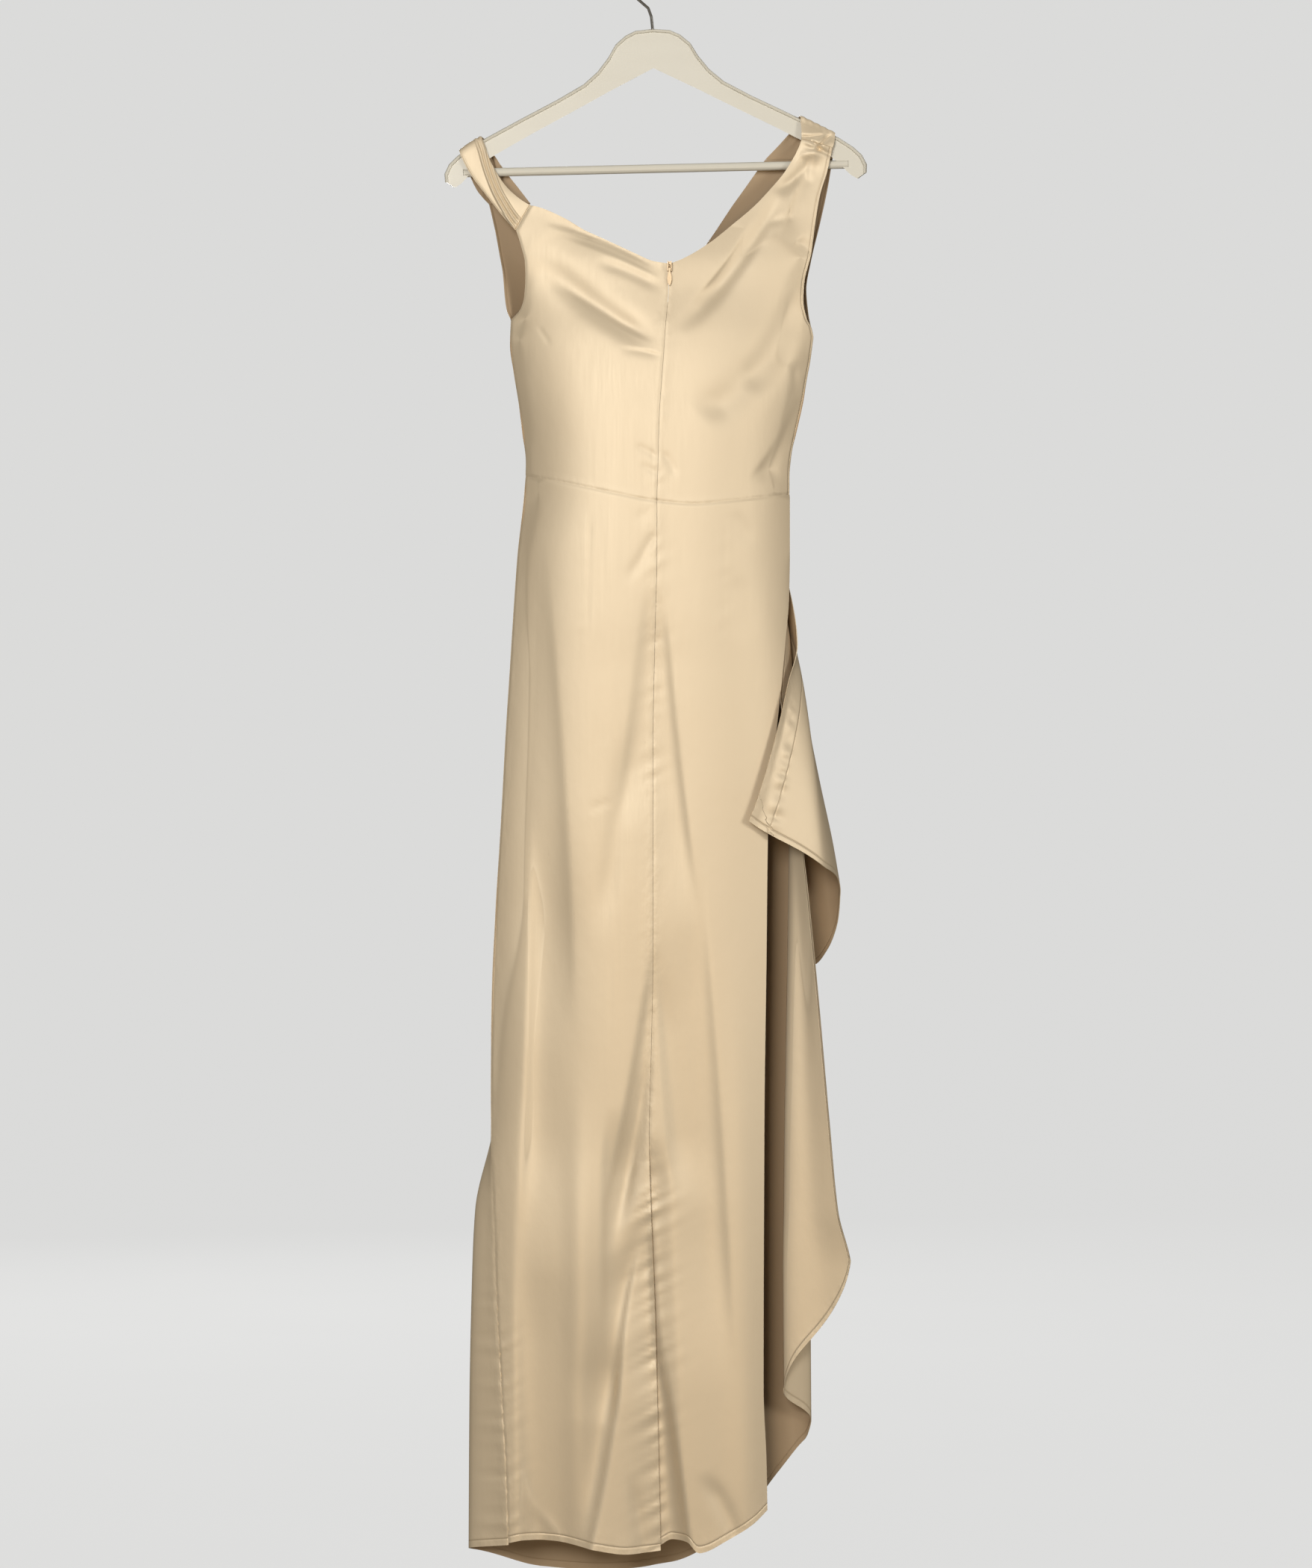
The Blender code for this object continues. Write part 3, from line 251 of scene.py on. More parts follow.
@dataclass(frozen=True)
class PaintFinish:
    """Cream paint on wood, with faint grain under it and a few worn marks."""

    name: str = "cream_paint"
    colour: Colour = (0.77, 0.74, 0.64)
    worn: Colour = (0.70, 0.665, 0.56)
    roughness: float = 0.42
    grain_scale: float = 60.0
    patch_scale: float = 14.0
    relief: float = 0.00008

    def material(self) -> bpy.types.Material:
        """Builds the paint.

        Returns:
            The material.
        """
        shader = ShaderTree(self.name, self.colour)
        grain = shader.noise(shader.place((0.2, 1.0, 1.2)), self.grain_scale)
        patch = shader.noise(shader.place(), self.patch_scale)
        shader.feed("Base Color", shader.mix(patch * 0.45 + grain * 0.15, self.colour, self.worn))
        shader.feed("Roughness", grain * 0.08 + (self.roughness - 0.04))
        shader.bump(grain * 0.5 + patch * 0.5, self.relief)
        shader.fixed(Coat_Weight=0.2, Coat_Roughness=0.35)
        return shader.material


@dataclass(frozen=True)
class MetalFinish:
    """Drawn or lacquered metal with fine marks."""

    name: str
    colour: Colour
    roughness: float
    streaks: float = 300.0
    shade: float = 0.82
    relief: float = 0.00003

    def material(self) -> bpy.types.Material:
        """Builds the metal.

        Returns:
            The material.
        """
        shader = ShaderTree(self.name, self.colour)
        marks = shader.noise(shader.place((1.0, 1.0, 0.2)), self.streaks, 3.0)
        dull = tuple(channel * self.shade for channel in self.colour)
        shader.feed("Base Color", shader.mix(marks, dull, self.colour))
        shader.feed("Roughness", marks * 0.14 + (self.roughness - 0.07))
        shader.bump(marks, self.relief)
        shader.fixed(Metallic=1.0)
        return shader.material


# Shape tables


@dataclass(frozen=True)
class Table:
    """Rows of numbers with named columns."""

    names: tuple[str, ...]
    rows: tuple[tuple[float, ...], ...]

    @classmethod
    def of(cls, names: str, text: str) -> "Table":
        """A table from its column names and its rows, which end with a semicolon or a line's end."""
        rows = (row.split() for row in text.replace("\n", ";").split(";"))
        return cls(tuple(names.split()), tuple(tuple(map(float, row)) for row in rows if row))

    def records(self) -> Iterator[dict[str, float]]:
        """Each row with its values by column name."""
        return (dict(zip(self.names, row)) for row in self.rows)

    def column(self, name: str) -> Array:
        """The values of one column."""
        place = self.names.index(name)
        return np.array([row[place] for row in self.rows], float)

    def at(self, place: Array | float, name: str, by: str = "drop") -> Array:
        """Reads a column on a smooth curve that never overshoots its rows.

        Args:
            place: Where to read it, in the column `by`.
            name: The column to read.
            by: The column that `place` is in, whose values rise.

        Returns:
            The values, level past the table's ends.
        """
        return smooth_curve(self.column(by), self.column(name), np.asarray(place, float))


def smooth_curve(stops: Array, values: Array, place: Array) -> Array:
    """A monotone curve through points.

    Args:
        stops: Rising places of the points.
        values: Their values.
        place: Where to read the curve.

    Returns:
        The curve's values.
    """
    place = np.clip(place, stops[0], stops[-1])
    if len(stops) < 3:
        return np.interp(place, stops, values)
    steps = np.diff(values) / np.diff(stops)
    before, after = steps[:-1], steps[1:]
    turning = before * after <= 0
    slopes = np.zeros(len(stops))
    slopes[0], slopes[-1] = steps[0], steps[-1]
    slopes[1:-1] = np.where(turning, 0.0, 2 * before * after / np.where(turning, 1.0, before + after))
    row = np.clip(np.searchsorted(stops, place, side="right") - 1, 0, len(stops) - 2)
    span = stops[row + 1] - stops[row]
    t = (place - stops[row]) / span
    return (
        values[row] * (2 * t**3 - 3 * t**2 + 1)
        + slopes[row] * span * (t**3 - 2 * t**2 + t)
        + values[row + 1] * (3 * t**2 - 2 * t**3)
        + slopes[row + 1] * span * (t**3 - t**2)
    )


def ramp(value: Array | float, start: Array | float, run: float) -> Array:
    """0 below `start`, 1 from `run` past it, and a smooth rise between."""
    t = np.clip((value - start) / run, 0.0, 1.0)
    return t * t * (3 - 2 * t)


def within(share: Array, run: float) -> Array:
    """1 between shares 0 and 1, with a smooth fall to 0 over `run` at both."""
    return ramp(share, 0, run) * ramp(1 - share, 0, run)


def near(value: Array, centre: float, reach: Array | float) -> Array:
    """1 at `centre`, fading to both sides over about `reach`."""
    return np.exp(-(((value - centre) / reach) ** 2))


# Where the oval of the dress lies at each drop, and how deep it is in the middle and at its edges.
OVAL = Table.of("drop left right back front edge", """
150 -215 215 1 1 9
190 -215 212 1.5 1.5 9
250 -182 200 7 7 9.5
300 -160 186 16 19 8.5
340 -149 175 25 33 4
367 -146 170 32 42 0.8
385 -147 169 35 46 0
430 -142 162 38 48 0
500 -132 148 40 44 0
549 -131 144 40 40 0
609 -140 144 40 40 0
671 -144 147 40 41 0
734 -148 153 39 42 0
889 -157 167 38 43 0
1168 -169 174 38 43 0
1293 -184 176 39 44 0
1479 -188 177 40 45 0
1680 -189 178 42 46 0
""")

# Seams and free edges seen from behind, as x at each drop.
CENTRE_BACK = Table.of("drop x", """300 19; 340 18; 376 15; 412 12.5; 470 8.5; 523 7; 558 6; 611 6; 696 4;
811 2; 1026 2; 1130 0; 1212 -2; 1289 0; 1428 5; 1640 10""")
SIDE_LEFT = Table.of("drop x", """367 -146; 392 -147; 423 -143; 454 -138; 485 -134; 516 -130.5; 547 -132;
609 -139; 671 -143.5; 734 -147.5; 796 -151.5; 889 -156.5; 982 -162; 1075 -166; 1168 -167; 1231 -166;
1293 -163; 1386 -160; 1479 -155; 1572 -150; 1640 -148""")
SIDE_RIGHT = Table.of("drop x", """385 169; 408 166; 430 162; 454 158; 485 151; 508 146; 532 144; 549 144;
609 144; 656 143; 703 139; 755 134; 811 128; 889 121; 1043 119; 1197 117; 1475 116; 1548 119; 1600 120""")
BACK_ARMHOLE_LEFT = Table.of("drop x", """276 -140; 292 -135; 309 -131; 323 -130.5; 345 -132; 357 -136;
367 -146""")
STRAP_SEAM_LEFT = Table.of("drop x", "250 -125; 276 -140")
BACK_ARMHOLE_RIGHT = Table.of("drop x", """190 188; 213 183; 240 175; 270 170; 300 166; 330 159; 348 158;
367 162; 376 167; 385 169""")
FRONT_ARMHOLE_LEFT = Table.of("drop x", """246 -169; 272 -163; 299 -158; 319 -154.5; 346 -152; 358 -150;
367 -146""")
FRONT_ARMHOLE_RIGHT = Table.of("drop x", """199 189; 229 184; 266 176; 304 167; 335 162; 360 164; 385 169""")

# Necklines, waist seams and hems, as drop at each x.
NECK_BACK_LEFT = Table.of("x drop", """-125 250; -118 251.5; -91 263; -65 278; -39 290; -16 301; 2 309;
19 312""")
NECK_BACK_RIGHT = Table.of("x drop", """19 312; 32 307; 59 291; 85 270; 111 247; 134 221; 149 198;
156 181""")
WRAP_EDGE_BACK = Table.of("x drop", "156 181; 188 190")
STRAP_SEAM_FRONT = Table.of("x drop", "-169 246; -126 245")
NECK_FRONT = Table.of("x drop", "-126 245; -98 281; -58 334; -15 386; 24 334; 59 284; 119 199")
WRAP_EDGE_FRONT = Table.of("x drop", "119 199; 189 199")
WAIST_BACK = Table.of("x drop", """-131 530; -100 536; -69 543; -32 551; 6 558; 45 561; 77 558; 144 549""")
WAIST_FRONT = Table.of("x drop", "-131 530; -60 539; 10 545; 144 549")
HEM_BACK_LEFT = Table.of("x drop", "-148 1636; -133 1633; -102 1634; -63 1640; -25 1645; 10 1642")
HEM_BACK_RIGHT = Table.of("x drop", "10 1637; 22 1631; 37 1632; 49 1643; 79 1630; 106 1613; 120 1600")


# The skirt front's path at each drop: its turns at the left, the right and back inwards, and its free edge.
FRONT_TURNS = Table.of("drop left_x left_y right_x right_y inner_x inner_y free_x free_y", """
549 -119 11 98 27 126 13.5 144 0
656 -132 13 112 29 137 14 143 -3
703 -135 14 118 30 145 13 139 -8
755 -137 15 126 32 148 12 134 -14
800 -140 15 134 33 148 13 140 -10
855 -143 15.5 141 34 147 13.5 149 -9
912 -146 16 147 35 144 13 157 -9
1044 -152 17 154 35 142 10 171 -12
1200 -163 14 159 35 139 8 185 -13
1293 -183 6 161 35 138 7 194 -13
1353 -186 5 162 35 137 6 208 -13
1500 -189 4 163 34 138 5 213 -13
1680 -190 4 165 34 138 5 216 -13
""")
# The skirt front's hem at shares of the panel's width.
FRONT_HEM = Table.of("share drop", """0 1638; 0.08 1650; 0.2 1670; 0.34 1673; 0.46 1667; 0.6 1622;
0.68 1572; 0.76 1522; 0.8 1505; 0.86 1482; 0.9 1450; 0.95 1412; 0.985 1372; 1 1345""")

# The hip drape's path at each drop: its turn at the front right, its outline, its flap and its free edge.
DRAPE_TURNS = Table.of("drop turn_x turn_y out_x out_y flap_x flap_y free_x free_y", """
552 60 41.5 76 38.5 94 33.5 110 26.5
620 85 43.5 105 38 124 29 138 18
706 112 43 134 33 150 16 152 -2
745 128 44 150 29 158 6 142 -20
780 138 45 161 23 163 -4 134 -29
858 150 48 178 20 172 -18 112 -40
920 158 50 191 18 176 -26 90 -44
1000 166 52 203 18 180 -30 76 -48
1060 170 53 208 18 182 -32 70 -50
""")
# The drape's hem at shares of its width, and how far the drape stands off the skirt.
DRAPE_HEM = Table.of("share drop", """0 585; 0.12 700; 0.26 860; 0.4 985; 0.5 1044; 0.56 1040; 0.6 1024;
0.64 998; 0.68 966; 0.74 946; 0.82 934; 0.9 914; 1 888""")
DRAPE_STAND_OFF = Table.of("drop off", "549 3.6; 600 5.2; 700 7; 1060 9")


# The left strap from its seam on the back, over the hanger arm, to its seam on the front.
STRAP_LEFT = Table.of("share left_x left_y left_drop right_x right_y right_drop", """
0 -140.5 -11 275.7 -125.5 -12 249.7
0.1 -152 -10 263 -136 -10.6 243
0.22 -171 -9.4 239 -152 -9.4 228
0.36 -188 -8.2 216 -167 -8.2 203
0.45 -197 -7.9 198.5 -173.5 -7.9 185.5
0.475 -199 -6.7 192.9 -176 -6.7 178.5
0.5 -199.4 0 191.2 -176.4 0 176.9
0.525 -198.6 6.7 192.6 -174.5 6.7 177.6
0.55 -197 7.9 198 -170.5 7.9 184
0.7 -189 8.4 216 -154 8.4 209
0.85 -181 9.2 232 -139 9.6 228
1 -169 10 245.6 -126 12 244.6
""")
# The right shoulder, gathered on the back and wide on the front.
SHOULDER_RIGHT = Table.of("share left_x left_y left_drop right_x right_y right_drop", """
0 156 -9.8 180.6 188 -9.2 189.6
0.15 156 -9.2 173 189.5 -9 186
0.3 155.4 -7.8 163 190.5 -7.8 181
0.4 155 -6.6 156.7 191 -6.6 174.5
0.5 154.6 0 155.1 191 0 173.2
0.6 153 6.6 155.7 191 6.6 174.5
0.7 150 7.8 164 191 7.8 181
0.85 137 9 180 190 8.8 190
1 119 10.4 198.9 189 9.2 198.9
""")


FOLD_COLUMNS = "x drop end_x end_drop bow width end_width depth end_depth crisp"
# Folds, seen from behind. depth above 0 is a trough. crisp 1 or -1 gives a sharp edge on the line, with the
# slope on its right or left as one looks along it, and 0 gives a round trough.
BACK_FOLDS = Table.of(FOLD_COLUMNS, """
-113 570 -78 1130 6 16 26 1.6 6 -1
-124 860 -141 1360 4 18 24 3.4 10.5 1
-141 1250 -130 1860 -2 22 28 5 13 1
-7 634 -41 900 4 10 15 1.8 4.6 1
-24 780 -52 1010 2 9 12 1.2 2 0
12 615 54 1000 -4 10 17 1.8 5 -1
50 900 88 1480 3 18 24 3 7 -1
1 1000 -55 1310 5 7 14 2.6 6.6 1
-48 1180 -50 1440 -2 13 16 5 5 1
-2 1120 -44 1340 4 6 10 2.2 4.6 0
5 1030 24 1290 -2 7 13 1.8 4.2 1
-4 1300 -34 1520 -8 7 14 3.2 8 -1
-24 1400 -92 1760 8 12 26 6 17 -1
2 1270 18 1500 -4 8 13 4 7 -1
8 1400 58 1800 3 9 24 5 19 -1
-74 1120 -76 1800 2 14 16 -2.4 -6 0
88 980 104 1800 2 18 20 -1.6 -5 0
-119 269 8 321 5 6 5 2 2.2 1
-96 284 14 331 4 8 6 1.2 1.8 1
-60 308 14 340 3 6 6 1.2 1.4 0
-130 296 12 404 -4 15 11 3.4 3.6 0
-96 336 6 398 -3 8 7 1.2 2.2 1
-34 399 14 407 2 2.6 2.4 0.5 0.9 -1
-119 374 -104 398 1 2.6 2.4 0.5 0.4 0
-130 380 -129 540 0 2 2 0.6 0.6 0
-18 500 9 515 1 4.4 4 0.4 0.8 0
-12 520 8 532 1 4 3.6 0.3 0.7 0
172 196 128 238 3 4.5 7 2.6 3.6 0
140 226 26 386 9 7 9 3 3.4 0
104 262 40 352 5 5 6 1.4 2.2 1
172 198 136 284 -6 3.4 5 2.6 1.8 1
121 268 148 261 -1 3 3 0.8 1 0
150 286 170 302 1 6 7 1.2 1.2 0
158 314 96 446 8 12 19 3 5.6 0
120 412 50 474 3 15 17 2.8 3.2 0
156 436 92 545 6 9 14 2.6 3.6 1
150 410 154 456 0 5 6 1.6 1.2 0
10 505 26 536 2 4 5 0.6 0.8 0
-62 545 -66 712 0 1.8 1.6 0.6 0.3 0
76 556 76 732 0 1.8 1.6 0.6 0.3 0
84 566 100 604 2 8 9 1.4 0.8 0
84 630 98 704 2 11 13 1.1 0.7 0
6 562 -19 577 1 3.4 4 1.3 0.8 0
6 584 -28 645 2 3.6 6 1.4 0.9 0
-120 665.6 -108 666.4 0 1.4 1.4 0.8 0.7 0
-66 878 -38 868 1 2.4 2.4 0.5 0.4 0
52 1560 96 1650 4 8 10 2.4 2 0
-20 1560 -4 1700 2 7 7 2.4 2 0
-130 1585 -98 1700 4 9 10 2.4 1.8 0
""")
FRONT_FOLDS = Table.of(FOLD_COLUMNS, """
-96 600 -120 1900 4 20 30 3 12 1
-48 640 -58 1900 -6 18 27 2.6 12 0
8 660 0 1900 5 17 26 2.6 11 -1
58 700 62 1840 -4 16 24 2.6 10 0
108 760 118 1660 3 14 18 2 5 1
-84 330 -20 420 8 10 12 3 4 0
-110 300 -40 430 12 6 9 1.6 2.4 1
92 300 20 430 -8 10 14 3 5 0
150 214 40 420 -12 7 12 2 3.4 1
172 214 100 440 -10 7 14 2 3 0
130 470 40 540 6 9 12 3 2.4 0
-118 470 -40 538 -6 9 12 2.6 2.4 0
""")
DRAPE_FOLDS = Table.of(FOLD_COLUMNS, """
-118 548 168 690 18 8 14 1.4 3.6 0
-122 566 172 770 20 8 16 1.8 5 0
-122 586 168 860 22 9 17 2 5.6 0
-112 612 158 950 22 10 18 2.2 5.6 0
-96 650 140 1020 20 10 18 2 5 0
-76 700 116 1060 16 10 16 1.6 4 0
""")
# Creases that meet in the shoulder's knot.
KNOT_FOLDS = Table.of(FOLD_COLUMNS, """
150 178 184 175 -2 2.4 2.4 1.6 1.8 0
171 194 188 174 1 1.7 2.2 2.6 2 0
178 195 162 180 -1 1.6 2.4 2.4 1.8 0
170 188 189 199 0 1.6 2 2.2 1.6 0
179 194 156 186 1 1.6 2.6 2 1.4 0
178 190 152 197 3 2.6 3 -2.2 -1.8 0
175 190 164 226 -3 3.2 3.6 -1.6 -1.6 0
""")


def beside(line: dict[str, float], x: Array, drop: Array) -> tuple[Array, Array, float]:
    """Measures places against a straight line.

    Args:
        line: Its two ends, as x, drop, end_x and end_drop.
        x: Places along X.
        drop: Their drops.

    Returns:
        How far along the line each place is, how far to its side, and the line's length.
    """
    run = np.array([line["end_x"] - line["x"], line["end_drop"] - line["drop"]])
    length = float(np.hypot(*run))
    run = run / length
    off_x, off_drop = x - line["x"], drop - line["drop"]
    return off_x * run[0] + off_drop * run[1], off_x * run[1] - off_drop * run[0], length


def fold_depth(rows: Table, x: Array, drop: Array) -> Array:
    """How far a table of folds pushes the cloth inwards.

    Args:
        rows: The folds.
        x: Places along X.
        drop: Their drops.

    Returns:
        The depth at each place.
    """
    end_share, softness = 0.3, 0.12
    total = np.zeros(np.broadcast(x, drop).shape)
    for fold in rows.records():
        along, side, length = beside(fold, x, drop)
        t = along / length
        inside = np.clip(t, 0.0, 1.0)
        side = side - fold["bow"] * 4 * inside * (1 - inside)
        width = fold["width"] + (fold["end_width"] - fold["width"]) * inside
        depth = fold["depth"] + (fold["end_depth"] - fold["depth"]) * inside
        slope = side * fold["crisp"]
        run_in = (slope + np.hypot(slope, softness * width)) / 2 / width
        shape = run_in * np.exp(1 - run_in) if fold["crisp"] else near(side, 0, width)
        total = total + depth * within(t, end_share) * shape
    return total


def ripple(place: Array, pitch: float, seed: float) -> Array:
    """An uneven wave from -1 to 1 along a line.

    Args:
        place: Distance along the line.
        pitch: The usual distance from crest to crest.
        seed: Sets the wave apart from others.

    Returns:
        Its height.
    """
    turn = 2 * math.pi * place / pitch
    slow = np.sin(turn * 0.31 + seed * 2.1)
    return (np.sin(turn + 1.4 * slow + seed) + 0.6 * np.sin(turn * 0.47 + seed * 3.7) * slow) / 1.4


# Puckered lines on the back: where each runs, how far its ripples reach and how high they are.
BACK_PUCKERS = Table.of("x drop end_x end_drop reach pitch height", """
6 566 2 880 9 23 0.5
2 880 0 1210 6 27 0.25
0 1226 7 1660 11 16 2.1
-160 1375 -148 1635 9 14 2
77 566 76 720 6 19 0.4
18 330 7 556 5 21 0.25
-63 560 -72 700 4 23 0.2
""")


def pucker_height(rows: Table, x: Array, drop: Array) -> Array:
    """Small ripples across stitched lines.

    Args:
        rows: The lines.
        x: Places along X.
        drop: Their drops.

    Returns:
        The height at each place, inwards.
    """
    start_run, end_run = 30, 12
    total = np.zeros(np.broadcast(x, drop).shape)
    for number, line in enumerate(rows.records()):
        along, side, length = beside(line, x, drop)
        ends = ramp(along, 0, start_run) * ramp(length - along, -end_run / 2, end_run)
        fading = np.exp(-np.abs(side) / line["reach"])
        uneven = 0.6 + 0.4 * ripple(along, 3.3 * line["pitch"], number + 4.0)
        wave = ripple(along + side * 0.5, line["pitch"], number + 1.0)
        total = total + line["height"] * ends * fading * uneven * wave
    return total


class Side(Enum):
    """Which half of the dress a surface belongs to."""

    BACK = "back"
    FRONT = "front"


@dataclass(frozen=True)
class DressForm:
    """The shape of the hanging dress: a flat oval with folds."""

    power: float = 3.4
    waist: float = 550.0
    calm_above: float = 548.0
    calm_below: float = 554.0
    fade_above: float = 26.0
    fade_below: float = 40.0
    fade_top: float = 16.0
    folds_from_back: float = 188.0
    folds_from_front: float = 200.0
    knot_centre: tuple[float, float] = (174.0, 191.0)
    knot_swells: Table = Table.of(
        "right down reach height", "-4 -6 15 4.2; 5 -4 5 1.8; -8 -3 6 1.4; 0 0 2.6 -2.6"
    )

    def oval(self, x: Array, drop: Array, side: Side) -> Array:
        """Depth of the plain oval at a place.

        Args:
            x: Places along X.
            drop: Their drops.
            side: The back or the front.

        Returns:
            Its distance from the middle plane.
        """
        left, right = OVAL.at(drop, "left"), OVAL.at(drop, "right")
        across = np.clip(np.abs(2 * (x - left) / (right - left) - 1), 0, 1)
        return OVAL.at(drop, "edge") + OVAL.at(drop, side.value) * (1 - across**self.power)

    def calm(self, x: Array, drop: Array, top: float, reach: float = 30.0) -> Array:
        """0 at the waist seam, the two sides and above `top`, where folds die out, and 1 elsewhere.

        Args:
            x: Places along X.
            drop: Their drops.
            top: Where folds start.
            reach: How far in from the sides they die out.

        Returns:
            The share at each place.
        """
        left, right = OVAL.at(drop, "left"), OVAL.at(drop, "right")
        above = ramp(self.calm_above - drop, 0, self.fade_above)
        below = ramp(drop, self.calm_below, self.fade_below)
        sides = ramp(x, left, reach) * ramp(right - x, 0, reach)
        return np.where(drop < self.waist, above, below) * sides * ramp(drop, top, self.fade_top)

    def knot(self, x: Array, drop: Array) -> Array:
        """How far the shoulder's knot stands out of the back cloth.

        Args:
            x: Places along X.
            drop: Their drops.

        Returns:
            The height at each place.
        """
        off_x, off_drop = x - self.knot_centre[0], drop - self.knot_centre[1]
        swell = sum(
            at["height"] * near(np.hypot(off_x - at["right"], off_drop - at["down"]), 0, at["reach"])
            for at in self.knot_swells.records()
        )
        return swell - fold_depth(KNOT_FOLDS, x, drop)

    def plain_back(self, x: Array, drop: Array) -> Array:
        """Y of the back cloth without the knot."""
        large = self.calm(x, drop, self.folds_from_back) * fold_depth(BACK_FOLDS, x, drop)
        return -self.oval(x, drop, Side.BACK) + large + pucker_height(BACK_PUCKERS, x, drop)

    def back(self, x: Array, drop: Array) -> Array:
        """Y of the back cloth."""
        return self.plain_back(x, drop) - self.knot(x, drop)

    def front(self, x: Array, drop: Array) -> Array:
        """Y of the front cloth."""
        folds = self.calm(x, drop, self.folds_from_front) * fold_depth(FRONT_FOLDS, x, drop)
        return self.oval(x, drop, Side.FRONT) - folds


FORM = DressForm()


# Cloth meshes


def spaced(length: float, step: float, fine: float = 0.8, reach: float = 8.0) -> Array:
    """Shares from 0 to 1 for a grid that is finer near both ends.

    Args:
        length: The length that the shares cover.
        step: The usual step.
        fine: The step at the ends.
        reach: How far the fine steps last.

    Returns:
        The shares.
    """
    place = [0.0]
    while place[-1] < length / 2:
        coarse = min(1.0, place[-1] / reach)
        place.append(place[-1] + fine + (step - fine) * coarse)
    half = np.array(place) / place[-1] / 2
    return np.concatenate([half, 1 - half[-2::-1]])


def grid_normal(grid: Array) -> Array:
    """Unit normals of a grid of world points whose rows run down, on the side that faces +Y."""
    normal = np.cross(np.gradient(grid, axis=1), np.gradient(grid, axis=0))
    return normal / np.maximum(np.linalg.norm(normal, axis=-1, keepdims=True), 1e-12)


@dataclass(frozen=True)
class Cut:
    """A piece's flat cut in metres: its width, length and area."""

    width: float
    length: float
    area: float

    def declare(self, piece: bpy.types.Object, node: str) -> None:
        """Hangs a piece on the dress body and hides the CAD node that it stands in for.

        Args:
            piece: The piece.
            node: The CAD node.
        """
        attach(piece, "dress")
        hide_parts(node)
        log.info("%s: %d faces", piece.name, len(piece.data.polygons))


@dataclass
class Cloth:
    """One piece of cloth as a grid of points, with marks for its stitched lines and crumpled edges."""

    node: str
    grid: Array
    outward: float
    faced_from: float = 1.0
    thickness: float = 0.8
    roll_reach: float = 1.7
    far: float = 30.0
    everywhere: float = 0.12
    roll: dict[str, float] = field(default_factory=dict)
    stitched: dict[str, float] = field(default_factory=dict)
    crumpled: dict[str, float] = field(default_factory=dict)

    def sew(self, fabric: Fabric, cut: Cut) -> None:
        cut.declare(self.build(fabric), self.node)

    def distance(self, side: str) -> Array:
        """Distance of each point from one side of the grid, along the cloth.

        Args:
            side: top, bottom, left or right.

        Returns:
            The distances in millimetres.
        """
        axis = 0 if side in ("top", "bottom") else 1
        step = np.linalg.norm(np.diff(self.grid, axis=axis), axis=-1)
        zero = np.zeros_like(np.take(step, [0], axis=axis))
        run = np.concatenate([zero, np.cumsum(step, axis=axis)], axis=axis)
        return run if side in ("top", "left") else np.take(run, [-1], axis=axis) - run

    def build(self, fabric: Fabric) -> bpy.types.Object:
        """Makes the mesh: both faces and the rim, with its marks as point attributes.

        Args:
            fabric: The materials of the cloth's two sides.

        Returns:
            The object.
        """
        normal = grid_normal(self.grid) * self.outward
        turned = sum(depth * near(self.distance(s), 0, self.roll_reach) for s, depth in self.roll.items())
        middle = self.grid - normal * np.expand_dims(turned, -1)
        rows, columns = middle.shape[:2]
        half = normal * self.thickness / 2
        points = np.concatenate([(middle + half).reshape(-1, 3), (middle - half).reshape(-1, 3)]) * MM
        index = np.arange(rows * columns).reshape(rows, columns)
        a, b, c, d = index[:-1, :-1], index[:-1, 1:], index[1:, 1:], index[1:, :-1]
        outer = np.stack([a, d, c, b], axis=-1).reshape(-1, 4)
        ring = np.concatenate([index[0, :-1], index[:-1, -1], index[-1, :0:-1], index[:0:-1, 0]])
        after = np.roll(ring, -1)
        under = rows * columns
        rim = np.stack([ring, after, after + under, ring + under], axis=-1)
        faces = np.concatenate([outer, outer[:, ::-1] + under, rim])
        if self.outward > 0:
            faces = faces[:, ::-1]
        name = f"{self.node}_satin"
        mesh = bpy.data.meshes.new(name)
        mesh.from_pydata(points.tolist(), [], faces.tolist())
        self._mark(mesh, "seam", self._lines())
        self._mark(mesh, "edge", self._crumple())
        mesh.materials.append(fabric.face)
        mesh.materials.append(fabric.reverse)
        # Inner faces take the back's material, whose darker colour is painted shade; the faced strip keeps
        # the satin face.
        side = np.zeros(len(faces), np.int32)
        plain = np.tile(np.arange(columns - 1) < self.faced_from * (columns - 1), rows - 1)
        side[len(outer) : 2 * len(outer)] = plain
        mesh.polygons.foreach_set("material_index", side)
        mesh.shade_smooth()
        mesh.set_sharp_from_angle(angle=math.radians(75))
        made = bpy.data.objects.new(name, mesh)
        bpy.context.scene.collection.objects.link(made)
        return made

    def _lines(self) -> Array:
        """Signed distance from the nearest stitched line, in millimetres.

        Returns:
            The distance at each point.
        """
        nearest = np.full(self.grid.shape[:2], self.far)
        for side, inset in self.stitched.items():
            off = np.clip(self.distance(side) - inset, -self.far, self.far)
            nearest = np.where(np.abs(off) < np.abs(nearest), off, nearest)
        return nearest

    def _crumple(self) -> Array:
        """1 at the cloth's crumpled edges, fading away from them.

        Returns:
            The share at each point.
        """
        found = np.full(self.grid.shape[:2], self.everywhere)
        for side, reach in self.crumpled.items():
            found = np.maximum(found, np.exp(-self.distance(side) / reach))
        return found

    def _mark(self, mesh: bpy.types.Mesh, name: str, values: Array) -> None:
        """Stores one number for each point, the same on both faces.

        Args:
            mesh: The mesh.
            name: The attribute's name.
            values: A number for each point of the grid.
        """
        layer = mesh.attributes.new(name, "FLOAT", "POINT")
        flat = np.tile(values.reshape(-1), 2).astype(np.float32)
        layer.data.foreach_set("value", flat)


